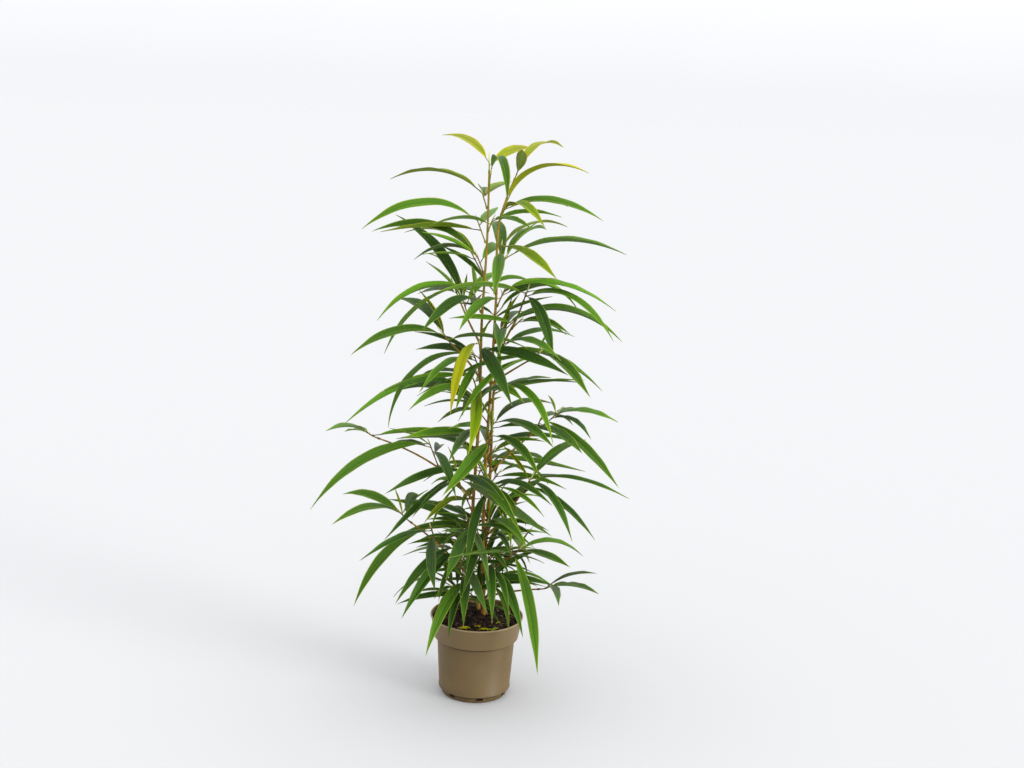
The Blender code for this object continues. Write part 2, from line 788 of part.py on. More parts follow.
def main():
    """Builds the pot, the soil, the limbs and every shoot."""
    for item in list(bpy.data.objects):
        bpy.data.objects.remove(item)
    plant = bpy.data.collections.new(COLLECTION)
    cutters = bpy.data.collections.new("cutters")
    for collection in (plant, cutters):
        bpy.context.scene.collection.children.link(collection)

    thicket = Thicket()
    for item in (make_pot(plant, cutters), make_soil(plant)):
        thicket.add_mesh(item.name, evaluated_mesh(item))

    bark = principled("olive_bark", (0.2, 0.145, 0.07), 0.6)
    green = principled("leaf_green", (0.055, 0.17, 0.03), 0.4)
    limbs = grow_limbs()
    for limb in limbs.values():
        item = tube(limb.name, limb.points, limb.radii, LIMB_ROUNDNESS, plant, bark)
        thicket.add_mesh(limb.name, evaluated_mesh(item))

    twigs = [Twig(name, shoot, limbs) for name, shoot in zip(shoot_names(), SHOOTS)]
    stalks = {}
    for twig in twigs:
        stalks[twig.name] = as_mesh(tube(twig.name, twig.points, twig.radii, 0, plant, green), plant)
        thicket.add_mesh(twig.name, stalks[twig.name].data)
    leaves = grow_leaves(twigs, thicket)
    for twig in twigs:
        fuse(stalks[twig.name], leaves[twig.name], plant)


if __name__ == "__main__":
    main()
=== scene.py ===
"""Looks of a potted ficus alii: a moulded pot of peat, barked stems and boughs, and long waxy leaves.

Metres, +Z up, in the frame's own axes: X runs right, Y away from the front, and the origin is the
middle of the pot's underside. Angles are degrees: an azimuth is 0 to the right, 90 to the back, 180
to the left and 270 to the front, and a rise is measured up from the level.

The foliage grows by the rule that the solids grow by, from the same sizes and seeds, so each fine
leaf lies where its plain solid does. Buds and young leaves are then added to each twig, and short
sprigs of small leaves between the twigs.
"""

import json
import logging
from collections.abc import Callable, Mapping, Sequence
from dataclasses import dataclass, replace
from enum import Enum
from itertools import accumulate
from math import cos, exp, pi, radians, sin, sqrt, tan, tau
from random import Random
from typing import Any

import bmesh
import bpy
from mathutils import Matrix, Vector, noise
from mathutils.bvhtree import BVHTree

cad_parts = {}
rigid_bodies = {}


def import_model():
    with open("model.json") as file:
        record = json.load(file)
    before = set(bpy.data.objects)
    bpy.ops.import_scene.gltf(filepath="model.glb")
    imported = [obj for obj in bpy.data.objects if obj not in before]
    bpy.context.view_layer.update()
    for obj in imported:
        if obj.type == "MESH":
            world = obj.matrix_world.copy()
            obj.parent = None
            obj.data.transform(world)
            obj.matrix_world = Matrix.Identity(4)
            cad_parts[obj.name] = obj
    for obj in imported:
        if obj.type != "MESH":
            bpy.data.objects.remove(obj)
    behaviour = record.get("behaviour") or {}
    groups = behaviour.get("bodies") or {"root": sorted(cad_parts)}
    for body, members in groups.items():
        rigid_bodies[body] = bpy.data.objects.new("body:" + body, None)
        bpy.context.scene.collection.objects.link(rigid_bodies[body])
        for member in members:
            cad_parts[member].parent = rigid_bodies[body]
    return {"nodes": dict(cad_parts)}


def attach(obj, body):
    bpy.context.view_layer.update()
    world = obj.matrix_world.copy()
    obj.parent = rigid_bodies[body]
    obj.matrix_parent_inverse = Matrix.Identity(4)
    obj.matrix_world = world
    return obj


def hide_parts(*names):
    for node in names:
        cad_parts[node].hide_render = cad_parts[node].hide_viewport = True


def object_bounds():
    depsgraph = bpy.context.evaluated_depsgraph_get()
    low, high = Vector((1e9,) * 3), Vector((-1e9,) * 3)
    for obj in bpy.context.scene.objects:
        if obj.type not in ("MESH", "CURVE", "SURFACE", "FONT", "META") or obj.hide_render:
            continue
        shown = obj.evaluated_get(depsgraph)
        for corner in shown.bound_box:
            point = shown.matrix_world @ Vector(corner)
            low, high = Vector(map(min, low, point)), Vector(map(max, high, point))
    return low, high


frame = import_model()
CAD_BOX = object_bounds()
BODY = "root"
UV_NAME = "along"  # a place on a leaf or limb in metres: across or around it, and along it
BED = "bed"  # the face attribute where loose matter may lie
MERGE_DISTANCE = 0.00001
SHARP_ANGLE = 40
LOG = logging.getLogger("potted_ficus_alii")

Pair = tuple[float, float]
Triple = tuple[float, float, float]
Colour = tuple[float, float, float, float]
Ring = list[Vector]
Face = tuple[int, ...]
Material = bpy.types.Material
Mesh = bpy.types.Mesh
Node = bpy.types.Node
NodeTree = bpy.types.NodeTree
Object = bpy.types.Object
Socket = bpy.types.NodeSocket


class Tone(Enum):
    """How a leaf has coloured with its age and its place in the crown. The shaded tone's greyish face is a
    painted sheen, and the dark tones low in the crown are partly painted shade.
    """

    YOUNG = "young"
    OLIVE = "olive"
    FRESH = "fresh"
    GRASS = "grass"
    DEEP = "deep"
    SHADED = "shaded"
    YELLOW = "yellow"


# The plant's sizes, as its solids have them

GAP = 0.0003
SOIL_TOP = 0.150
ARCH_STEPS = 40
LIMB_STATIONS = 15
FLARE = 1.3
FLARE_HEIGHT = 0.025
BOUGH_STATIONS = 8
BOUGH_RADIUS = 0.0021
BOUGH_TIP_RADIUS = 0.0014
TWIG_RADIUS = 0.0013
TWIG_TIP_RADIUS = 0.0010
TWIG_STATIONS = 4
TWIG_RISE = 68.0
BUD_LENGTH = 0.012
LEADER_BUD_LENGTH = 0.022
BUD_TIP_RADIUS = 0.0003
FIRST_NODE = 0.3
LEAF_LENGTH = 0.205
LEAF_WIDTH_SHARE = 0.112
PETIOLE_SHARE = 0.085
PETIOLE_RADIUS = 0.0011
THICKNESS_SHARE = 0.0105
FOLD = 30.0
WIDEST_AT = 0.36
TIP_POWER = 1.05
EARLY_BEND = 1.35
BLADE_STATIONS = (0.0, 0.12, 0.36, 0.62, 0.85, 1.0)
TIP_HALF_WIDTH = 0.0005
TIP_THINNING = 0.4
LEAD_ROLL = 18.0
LEAD_SWEEP = 8.0
SIDE_RISE = 12.0
SIDE_RISE_SHARE = 0.5
SIDE_RISE_SPREAD = 13.0
SIDE_RISE_LEAST = -10.0
SIDE_RISE_MOST = 55.0
SIDE_TURN_SPREAD = 8.0
SIDE_FALL = 22.0
SIDE_FALL_SHARE = 0.7
SIDE_FALL_SPREAD = 14.0
SIDE_FALL_LEAST = 8.0
SIDE_LENGTH_SHARES = (0.82, 1.06)
SIDE_ROLL = 28.0
SIDE_SWEEP = 12.0
SWELL = 0.0008
TRIES = 16
TURN_STEP = 3.0
LOWEST_LEAF = 0.012
BOX_MARGIN = 0.004
TIP = None  # a shoot that grows on from the end of its limb


@dataclass(frozen=True)
class Stem:
    """A stem through a few points, from its foot on the soil to its tip."""

    name: str
    foot_radius: float
    tip_radius: float
    route: tuple[Triple, ...]


@dataclass(frozen=True)
class Bough:
    """A side limb that leaves its stem at a height and arches out to its tip."""

    name: str
    stem: str
    height: float
    azimuth: float
    rise: float
    fall: float
    length: float


@dataclass(frozen=True)
class Shoot:
    """A twig and its leaves: the leading leaf's heading, arch, length and tone, and the others' turns."""

    limb: str
    height: float | None
    azimuth: float
    rise: float
    fall: float
    turns: tuple[float, ...]
    reach: float
    twig: float
    seed: int
    tone: Tone | None = None
    twig_rise: float = TWIG_RISE
    scale: float = 1.0


@dataclass(frozen=True)
class Leaf:
    """One leaf's root, heading, arch, length and tone."""

    root: Vector
    azimuth: float
    rise: float
    fall: float
    length: float
    roll: float
    sweep: float
    tone: Tone | None = None
    slim: float = 1.0
    cupped: float = 0.0


STEMS = (
    Stem(
        "stem_left", 0.0040, 0.0017,
        (
            (-0.025, 0.004, SOIL_TOP + GAP), (-0.025, 0.004, 0.165), (-0.017, 0.006, 0.235),
            (-0.015, 0.007, 0.370), (-0.010, 0.008, 0.540), (-0.012, 0.009, 0.700),
            (-0.008, 0.009, 0.840), (-0.009, 0.009, 0.972),
        ),
    ),
    Stem(
        "stem_right", 0.0037, 0.0015,
        (
            (0.012, 0.006, SOIL_TOP + GAP), (0.012, 0.006, 0.165), (0.006, 0.008, 0.290),
            (0.005, 0.009, 0.410), (0.008, 0.009, 0.560), (0.012, 0.010, 0.740),
            (0.010, 0.010, 0.860), (0.020, 0.009, 0.915), (0.036, 0.008, 0.960),
        ),
    ),
    Stem(
        "stem_back", 0.0034, 0.0015,
        (
            (0.002, 0.032, SOIL_TOP + GAP), (0.002, 0.032, 0.165), (0.012, 0.028, 0.300),
            (0.014, 0.026, 0.450), (0.014, 0.026, 0.570), (0.024, 0.022, 0.650),
            (0.049, 0.016, 0.708), (0.061, 0.012, 0.744),
        ),
    ),
)

BOUGHS = (
    Bough("bough_left_1", "stem_left", 0.228, 195, 52, 14, 0.150),
    Bough("bough_left_2", "stem_left", 0.376, 184, 50, 32, 0.205),
    Bough("bough_left_3", "stem_left", 0.606, 168, 54, 14, 0.072),
    Bough("bough_left_4", "stem_left", 0.668, 160, 56, -8, 0.084),
    Bough("bough_right_1", "stem_right", 0.184, 334, 26, 12, 0.115),
    Bough("bough_right_2", "stem_right", 0.226, 320, 50, 14, 0.076),
    Bough("bough_right_3", "stem_right", 0.302, 350, 46, -16, 0.115),
    Bough("bough_right_4", "stem_right", 0.418, 12, 50, 12, 0.145),
    Bough("bough_right_5", "stem_right", 0.594, 344, 38, 4, 0.080),
)

# The shoots of each limb. A row is the height where its twig leaves the limb, the leading leaf's azimuth,
# rise and fall, the other leaves' turns, the leading leaf's length, the twig's length, a seed and a tone.
# The low rows' dark tones are partly painted shade, and the shaded tone is a painted sheen.
SHOOT_ROWS = {
    "stem_left": (
        (TIP, 118, 32, 37, (-50,), 0.195, 0.014, 68, Tone.YOUNG),
        (0.950, 285, 72, 165, (), 0.160, 0.020, 386, Tone.GRASS),
        (0.908, 152, 38, 62, (-76, -50), 0.205, 0.026, 301, Tone.OLIVE),
        (0.848, 187, 37, 77, (-100, 0), 0.220, 0.040, 431, Tone.FRESH),
        (0.794, 181, 51, 72, (-50, -110), 0.205, 0.030, 807, Tone.GRASS),
        (0.723, 197, 34, 84, (38, -100), 0.200, 0.030, 68, Tone.FRESH),
        (0.643, 255, 20, 94, (37, 70), 0.200, 0.024, 506, Tone.YELLOW),
        (0.620, 204, 17, 99, (-66, 45), 0.230, 0.026, 200, Tone.GRASS),
        (0.577, 190, 4, 46, (-60, -110, 90), 0.255, 0.030, 425, Tone.FRESH),
        (0.537, 238, 38, 63, (-96, -21, 70), 0.200, 0.032, 815, Tone.GRASS),
        (0.480, 262, 15, 30, (-30, -115), 0.205, 0.030, 508, Tone.SHADED),
        (0.396, 230, 18, 34, (56, -5), 0.205, 0.034, 306, Tone.DEEP),
        (0.306, 260, -9, 0, (30, 60, -110), 0.215, 0.028, 379, Tone.DEEP),
        (0.194, 270, 28, 61, (-19, 90), 0.190, 0.030, 293, Tone.DEEP),
    ),
    "bough_left_4": (
        (TIP, 156, -20, 43, (-80, -40), 0.205, 0.022, 699, Tone.FRESH),
        (0.715, 151, 67, 47, (-40, -80), 0.210, 0.024, 415, Tone.DEEP),
    ),
    "bough_left_3": (
        (TIP, 208, 26, 60, (-86, 110), 0.195, 0.022, 743, Tone.GRASS),
    ),
    "bough_left_2": (
        (TIP, 254, 26, 22, (-136, 110), 0.185, 0.024, 348, Tone.GRASS),
        (0.433, 198, 5, 58, (-60, 80, -110), 0.255, 0.045, 631, Tone.GRASS),
        (0.401, 235, -22, -7, (70, 110), 0.230, 0.024, 64, Tone.DEEP),
    ),
    "bough_left_1": (
        (TIP, 234, 34, 46, (-99, 54), 0.205, 0.024, 686, Tone.GRASS),
        (0.296, 214, -3, 62, (25, 52), 0.210, 0.026, 365, Tone.GRASS),
        (0.248, 240, 7, 39, (-119, 0, 50), 0.205, 0.040, 667, Tone.DEEP),
    ),
    "stem_right": (
        (TIP, 64, 46, 63, (-135,), 0.205, 0.014, 87, Tone.YOUNG),
        (0.891, 319, 70, 87, (30, 85, -30), 0.210, 0.026, 228, Tone.YOUNG),
        (0.816, 299, 4, 23, (121, -23), 0.205, 0.030, 461, Tone.OLIVE),
        (0.793, 352, 38, 59, (64, 100), 0.225, 0.028, 340, Tone.GRASS),
        (0.735, 343, 29, 62, (30, 60, -100), 0.215, 0.030, 855, Tone.FRESH),
        (0.668, 352, 47, 87, (-82, 90), 0.240, 0.028, 750, Tone.GRASS),
        (0.558, 309, 30, 87, (18, 75, 110), 0.210, 0.030, 873, Tone.FRESH),
        (0.490, 304, 23, 38, (109, 70, -60), 0.215, 0.034, 583, Tone.GRASS),
        (0.465, 300, 13, 36, (-42, 70), 0.200, 0.036, 305, Tone.GRASS),
        (0.373, 302, 31, 45, (-51, 90), 0.205, 0.030, 79, Tone.DEEP),
        (0.300, 291, 34, 51, (-53, -110, 110), 0.200, 0.032, 584, Tone.GRASS),
        (0.214, 277, 35, 80, (5, 13), 0.205, 0.034, 802, Tone.DEEP),
    ),
    "stem_back": (
        (TIP, 327, 19, 67, (-111, -40, 80), 0.210, 0.018, 133, Tone.FRESH),
        (0.640, 300, 26, 41, (115, 38), 0.210, 0.026, 18, Tone.GRASS),
        (0.420, 100, 30, 60, (-90, 70, -50), 0.205, 0.034, 156),
        (0.280, 85, 25, 55, (60, 90, -30), 0.205, 0.034, 843),
    ),
    "bough_right_5": (
        (TIP, 294, 10, 37, (-100, -60), 0.205, 0.024, 687, Tone.GRASS),
    ),
    "bough_right_4": (
        (TIP, 300, 23, 25, (128, -10), 0.205, 0.024, 963, Tone.FRESH),
        (0.504, 322, -10, 28, (108, -30), 0.210, 0.024, 22, Tone.GRASS),
    ),
    "bough_right_3": (
        (TIP, 327, 23, 41, (-25, 89, -3), 0.205, 0.026, 927, Tone.GRASS),
    ),
    "bough_right_2": (
        (0.277, 313, -44, 32, (), 0.235, 0.018, 224, Tone.GRASS),
        (TIP, 299, 16, 11, (100, -70, -30), 0.200, 0.030, 471, Tone.GRASS),
    ),
    "bough_right_1": (
        (TIP, 295, 25, 15, (-11, 7), 0.205, 0.024, 88, Tone.GRASS),
    ),
}
SHOOTS = tuple(Shoot(limb, *row) for limb, rows in SHOOT_ROWS.items() for row in rows)


# Directions and arches


def heading(azimuth: float, rise: float) -> Vector:
    """Unit vector of an azimuth, round from +X towards +Y, and a rise from the level, in degrees."""
    around, up = radians(azimuth), radians(rise)
    return Vector((cos(up) * cos(around), cos(up) * sin(around), sin(up)))


def bent_rise(rise: float, fall: float, share: float) -> float:
    """Rise of an arching shape at a share of its length: it bends more near its root."""
    return rise - fall * share * (EARLY_BEND - (EARLY_BEND - 1.0) * share)


def arch(
    root: Vector,
    azimuth: float,
    rise: float,
    fall: float,
    length: float,
    shares: Sequence[float],
    sweep: float = 0.0,
) -> list[tuple[Vector, Vector]]:
    """Points and tangents of an arching line.

    Args:
        root: Where it starts.
        azimuth: Its heading there.
        rise: Its rise there.
        fall: How far the rise drops by the end.
        length: Its length.
        shares: Where points are wanted.
        sweep: How far the heading turns by the end.

    Returns:
        A point and a tangent for each share.
    """
    line = [root]
    for step in range(ARCH_STEPS):
        middle = (step + 0.5) / ARCH_STEPS
        tangent = heading(azimuth + sweep * middle, bent_rise(rise, fall, middle))
        line.append(line[-1] + tangent * (length / ARCH_STEPS))
    places = []
    for share in shares:
        whole = min(int(share * ARCH_STEPS), ARCH_STEPS - 1)
        where = line[whole].lerp(line[whole + 1], share * ARCH_STEPS - whole)
        places.append((where, heading(azimuth + sweep * share, bent_rise(rise, fall, share))))
    return places


def even_shares(count: int) -> list[float]:
    """Shares from 0 to 1 for a line of count points."""
    return [i / (count - 1) for i in range(count)]


def taper(first: float, last: float, share: float) -> float:
    """A size part way from its first to its last."""
    return first * (1 - share) + last * share


def hump(height: float, width: float, distance: float) -> float:
    """A rounded swelling's height at a distance from its middle."""
    return height * exp(-((distance / width) ** 2))


def size_at(sizes: Sequence[float], share: float) -> float:
    """The size at a share of the way along a list of sizes."""
    place = share * (len(sizes) - 1)
    whole = min(int(place), len(sizes) - 2)
    return sizes[whole] + (sizes[whole + 1] - sizes[whole]) * (place - whole)


def runs(points: Sequence[Vector]) -> list[float]:
    """The length of a line up to each of its points."""
    return list(accumulate((after - point).length for point, after in zip([points[0], *points], points)))


def gripped(
    points: Sequence[Vector], radii: Sequence[float], grip: float
) -> tuple[list[Vector], list[float]]:
    """A limb drawn back into what carries it, by one more point and radius at its start."""
    along = (points[1] - points[0]).normalized()
    return [points[0] - along * grip, *points], [radii[0], *radii]


def smooth_line(route: Sequence[Sequence[float]], count: int) -> list[Vector]:
    """Points of a smooth curve through a route's own points.

    Args:
        route: The points that it passes through.
        count: How many points to give.

    Returns:
        The points.
    """
    marks = [Vector(point) for point in route]
    marks = [2 * marks[0] - marks[1]] + marks + [2 * marks[-1] - marks[-2]]
    spans = len(route) - 1
    points = []
    for share in even_shares(count):
        place = share * spans
        i = min(int(place), spans - 1)
        t = place - i
        before, start, end, after = marks[i : i + 4]
        slope = (end - before) * t
        bend = (2 * before - 5 * start + 4 * end - after) * t**2
        turn = (3 * start - before - 3 * end + after) * t**3
        points.append(0.5 * (2 * start + slope + bend + turn))
    points[0] = marks[1]
    return points


# Limbs, twigs and leaves, as the solids have them


class Limb:
    """A placed limb: its points and radii, and where twigs leave it."""

    def __init__(self, name: str, points: list[Vector], radii: list[float]) -> None:
        """Keeps the limb's name, points and radii."""
        self.name = name
        self.points = points
        self.radii = radii

    def at(self, height: float) -> tuple[Vector, Vector, float]:
        """Where the limb passes a height.

        Args:
            height: The height.

        Returns:
            The point, direction and radius there.
        """
        for i in range(len(self.points) - 1):
            low, high = self.points[i], self.points[i + 1]
            if low.z <= height <= high.z:
                t = (height - low.z) / (high.z - low.z)
                return low.lerp(high, t), (high - low).normalized(), taper(*self.radii[i : i + 2], t)
        raise ValueError(f"{self.name} doesn't pass {height}")

    def side_start(self, height: float, direction: Vector, radius: float) -> Vector:
        """Where a branch starts, just clear of the limb.

        Args:
            height: The height where it leaves.
            direction: Its direction.
            radius: Its radius.

        Returns:
            Its first point.
        """
        centre, along, own_radius = self.at(height)
        out = (direction - direction.dot(along) * along).normalized()
        lean = sqrt(max(0.0, 1.0 - direction.dot(out) ** 2))
        return centre + out * (own_radius + GAP + radius * lean)

    def end(self) -> tuple[Vector, Vector]:
        """The start and direction of what grows on from the limb's tip."""
        along = (self.points[-1] - self.points[-2]).normalized()
        return self.points[-1] + along * GAP, along


def stem_limb(stem: Stem) -> Limb:
    """The limb of a stem, flared at its foot.

    Args:
        stem: Its sizes.

    Returns:
        The limb.
    """
    points = smooth_line(stem.route, LIMB_STATIONS)
    points[1] = Vector((points[0].x, points[0].y, points[1].z))
    radii = []
    for point, share in zip(points, even_shares(LIMB_STATIONS)):
        radius = taper(stem.foot_radius, stem.tip_radius, share)
        near_foot = max(0.0, 1.0 - (point.z - SOIL_TOP) / FLARE_HEIGHT)
        radii.append(radius * (1 + (FLARE - 1) * near_foot))
    return Limb(stem.name, points, radii)


def bough_limb(bough: Bough, stem: Limb) -> Limb:
    """The limb of a bough, from just clear of its stem to its tip.

    Args:
        bough: Its sizes.
        stem: The limb that it leaves.

    Returns:
        The limb.
    """
    direction = heading(bough.azimuth, bough.rise)
    root = stem.side_start(bough.height, direction, BOUGH_RADIUS)
    shares = even_shares(BOUGH_STATIONS)
    line = arch(root, bough.azimuth, bough.rise, bough.fall, bough.length, shares)
    radii = [taper(BOUGH_RADIUS, BOUGH_TIP_RADIUS, share) for share in shares]
    return Limb(bough.name, [point for point, _ in line], radii)


def grow_limbs() -> dict[str, Limb]:
    """Every stem and bough by name."""
    limbs = {stem.name: stem_limb(stem) for stem in STEMS}
    for bough in BOUGHS:
        limbs[bough.name] = bough_limb(bough, limbs[bough.stem])
    return limbs


class Twig:
    """A shoot's twig: its points and radii, with a pointed bud at its end."""

    def __init__(self, name: str, shoot: Shoot, limb: Limb) -> None:
        """Places the twig.

        Args:
            name: The name of its solid.
            shoot: Its sizes.
            limb: The limb that it leaves.
        """
        self.name = name
        self.shoot = shoot
        along = towards = heading(shoot.azimuth, shoot.twig_rise)
        if shoot.height is TIP:
            root, along = limb.end()
        else:
            root = limb.side_start(shoot.height, towards, TWIG_RADIUS)
        self.points = [root]
        for share in even_shares(TWIG_STATIONS)[:-1]:
            step = along.lerp(towards, share / 2).normalized() * shoot.twig / (TWIG_STATIONS - 1)
            self.points.append(self.points[-1] + step)
        last = (self.points[-1] - self.points[-2]).normalized()
        bud = LEADER_BUD_LENGTH if shoot.height is TIP else BUD_LENGTH
        self.radii = [taper(TWIG_RADIUS, TWIG_TIP_RADIUS, share) for share in even_shares(TWIG_STATIONS)]
        self.points.append(self.points[-1] + last * bud)
        self.radii.append(BUD_TIP_RADIUS)

    def node(self, share: float) -> Vector:
        """The place of a leaf at a share of the twig, below its bud."""
        place = share * (TWIG_STATIONS - 1)
        whole = min(int(place), TWIG_STATIONS - 2)
        return self.points[whole].lerp(self.points[whole + 1], place - whole)


def half_width(share: float, widest: float, foot_power: float = 0.0) -> float:
    """A blade's half width, long pointed at both ends, the foot by its own power or the solid's."""
    power = foot_power or TIP_POWER * WIDEST_AT / (1 - WIDEST_AT)
    return widest * (share / WIDEST_AT) ** power * ((1 - share) / (1 - WIDEST_AT)) ** TIP_POWER


def across(tangent: Vector, azimuth: float, roll: float) -> tuple[Vector, Vector]:
    """A blade's own directions.

    Args:
        tangent: Its midrib's direction.
        azimuth: Its heading.
        roll: How far it's turned about its midrib.

    Returns:
        The ways to its left edge and out of its upper face.
    """
    level_side = heading(azimuth + 90, 0)
    side = (level_side - level_side.dot(tangent) * tangent).normalized()
    up = tangent.cross(side)
    turn = radians(roll)
    return (
        side * cos(turn) + up * sin(turn),
        up * cos(turn) - side * sin(turn),
    )


def leaf_rings(leaf: Leaf, swell: float = 0.0) -> list[Ring]:
    """The plain solid of a leaf, for finding room.

    Args:
        leaf: The leaf.
        swell: What is added on every side.

    Returns:
        Its sections: right edge, keel, left edge and groove.
    """
    widest = leaf.length * LEAF_WIDTH_SHARE / 2
    thickness = leaf.length * THICKNESS_SHARE
    fold = tan(radians(FOLD))
    shares = [0.0] + [PETIOLE_SHARE + (1 - PETIOLE_SHARE) * t for t in BLADE_STATIONS]
    line = arch(leaf.root, leaf.azimuth, leaf.rise, leaf.fall, leaf.length, shares, leaf.sweep)
    rings = []
    for (point, tangent), t in zip(line, (None, *BLADE_STATIONS)):
        side, up = across(tangent, leaf.azimuth, leaf.roll)
        half, thick = PETIOLE_RADIUS, thickness
        if t is not None and t > 0:
            half = max(half_width(t, widest), TIP_HALF_WIDTH)
        if t == 1.0:
            thick = thickness * TIP_THINNING
        lift = max(0.0, half - PETIOLE_RADIUS) * fold
        half, thick = half + swell, thick + 2 * swell
        rings.append(
            [
                point - side * half + up * lift,
                point - up * thick / 2,
                point + side * half + up * lift,
                point + up * thick / 2,
            ]
        )
    return rings


def loft(rings: Sequence[Ring]) -> tuple[Ring, list[tuple[int, int, int]]]:
    """A closed solid through rings of four points.

    Args:
        rings: The sections.

    Returns:
        Its points and triangles.
    """
    points = [point for ring in rings for point in ring]
    faces = [(0, 3, 1), (1, 3, 2)]
    for first in range(0, len(points) - 4, 4):
        for side in range(4):
            a, b = first + side, first + (side + 1) % 4
            if side % 2:
                faces += [(a, b, a + 4), (b, b + 4, a + 4)]
            else:
                faces += [(a, b, b + 4), (a, b + 4, a + 4)]
    end = len(points) - 4
    faces += [(end, end + 1, end + 3), (end + 1, end + 2, end + 3)]
    return points, faces


class Thicket:
    """What has been placed so far, and whether a new leaf has room beside it."""

    def __init__(self) -> None:
        """Starts empty."""
        self.solids: list[tuple[str, BVHTree]] = []
        self.blades: list[tuple[str, BVHTree]] = []

    def add_solid(self, owner: str, points: Sequence[Vector], faces: Sequence[Face]) -> None:
        """Remembers a limb, a twig or the pot."""
        self.solids.append((owner, BVHTree.FromPolygons(points, faces)))

    def add_leaf(self, owner: str, leaf: Leaf) -> None:
        """Remembers a leaf, and its blade alone for its own shoot's leaves to keep clear of."""
        rings = leaf_rings(leaf)
        self.add_solid(owner, *loft(rings))
        self.blades.append((owner, BVHTree.FromPolygons(*loft(rings[2:]))))

    def has_room(self, owner: str, leaf: Leaf) -> bool:
        """Whether a leaf, a little swollen, touches nothing but its own twig.

        Args:
            owner: Its shoot's name.
            leaf: The leaf.

        Returns:
            True if it has room.
        """
        rings = leaf_rings(leaf, SWELL)
        if min(point.z for ring in rings for point in ring) < LOWEST_LEAF:
            return False
        whole = BVHTree.FromPolygons(*loft(rings))
        blade = BVHTree.FromPolygons(*loft(rings[2:]))
        strangers = (tree for name, tree in self.solids if name != owner)
        siblings = (tree for name, tree in self.blades if name == owner)
        return not any(whole.overlap(tree) for tree in strangers) and not any(
            blade.overlap(tree) for tree in siblings
        )

    def has_way(self, points: Sequence[Vector], faces: Sequence[Face]) -> bool:
        """Whether a new twig's tube touches nothing."""
        tube = BVHTree.FromPolygons(points, faces)
        return not any(tube.overlap(tree) for _, tree in self.solids)

    def placed(self, owner: str, leaf: Leaf, chance: Random) -> Leaf | None:
        """Places a leaf, turned a little further at each try until it has room.

        Args:
            owner: Its shoot's name.
            leaf: The leaf as it would lie with nothing in its way.
            chance: Where the turns come from.

        Returns:
            The leaf as it lies, or None where it has no room.
        """
        for attempt in range(TRIES):
            spread = TURN_STEP * attempt
            tried = replace(
                leaf,
                azimuth=leaf.azimuth + chance.uniform(-spread, spread),
                rise=leaf.rise + chance.uniform(-spread, spread),
            )
            if self.has_room(owner, tried):
                self.add_leaf(owner, tried)
                return tried
        return None


def leading_leaf(twig: Twig, chance: Random) -> Leaf:
    """The leaf at a twig's end, as its shoot states it, with its roll and sweep by chance."""
    shoot = twig.shoot
    return Leaf(
        twig.node(1.0),
        shoot.azimuth,
        shoot.rise,
        shoot.fall,
        shoot.reach,
        chance.uniform(-LEAD_ROLL, LEAD_ROLL),
        chance.uniform(-LEAD_SWEEP, LEAD_SWEEP),
        shoot.tone,
    )


def side_leaf(twig: Twig, index: int, chance: Random) -> Leaf:
    """A leaf further down a twig, turned from the leading one.

    Args:
        twig: The twig.
        index: Which of the shoot's turns it takes.
        chance: Where its differences come from.

    Returns:
        The leaf.
    """
    shoot = twig.shoot
    share = 1.0 - (1.0 - FIRST_NODE) * (index + 1) / (len(shoot.turns) + 1)
    middle_rise = SIDE_RISE + SIDE_RISE_SHARE * shoot.rise
    rise = min(SIDE_RISE_MOST, max(SIDE_RISE_LEAST, middle_rise + chance.gauss(0, SIDE_RISE_SPREAD)))
    return Leaf(
        twig.node(share),
        shoot.azimuth + shoot.turns[index] + chance.uniform(-SIDE_TURN_SPREAD, SIDE_TURN_SPREAD),
        rise,
        max(SIDE_FALL_LEAST, SIDE_FALL + SIDE_FALL_SHARE * rise + chance.gauss(0, SIDE_FALL_SPREAD)),
        LEAF_LENGTH * shoot.scale * chance.uniform(*SIDE_LENGTH_SHARES),
        chance.uniform(-SIDE_ROLL, SIDE_ROLL),
        chance.uniform(-SIDE_SWEEP, SIDE_SWEEP),
    )


def shoot_names() -> list[str]:
    """The name of each shoot's solid, numbered along its limb."""
    return [f"foliage_{limb}_{i + 1:02d}" for limb, rows in SHOOT_ROWS.items() for i in range(len(rows))]


# Materials


def linear(hex_colour: str) -> Colour:
    """Linear red, green, blue and an alpha of 1 from an sRGB colour given as #rrggbb."""
    parts = [int(hex_colour[i : i + 2], 16) / 255 for i in (1, 3, 5)]
    red, green, blue = (p / 12.92 if p <= 0.04045 else ((p + 0.055) / 1.055) ** 2.4 for p in parts)
    return red, green, blue, 1.0


def between(first: str, second: str, share: float) -> str:
    """The sRGB colour that lies a share of the way from one #rrggbb colour to another."""
    ends = [[int(colour[i : i + 2], 16) for i in (1, 3, 5)] for colour in (first, second)]
    return "#" + "".join(f"{round(a + (b - a) * share):02x}" for a, b in zip(*ends))


def add(
    tree: NodeTree, kind: str, inputs: Mapping[str | int, Any] | None = None, **settings: Any
) -> Node:
    """Adds a node with its settings and its links.

    Args:
        tree: The tree that it goes in.
        kind: Its type.
        inputs: Its inputs by name or number: a socket is linked and a value is set.
        **settings: Its other properties.

    Returns:
        The node.
    """
    node = tree.nodes.new(kind)
    for name, value in settings.items():
        setattr(node, name, value)
    for key, value in (inputs or {}).items():
        if isinstance(value, Socket):
            tree.links.new(value, node.inputs[key])
        else:
            node.inputs[key].default_value = value
    return node


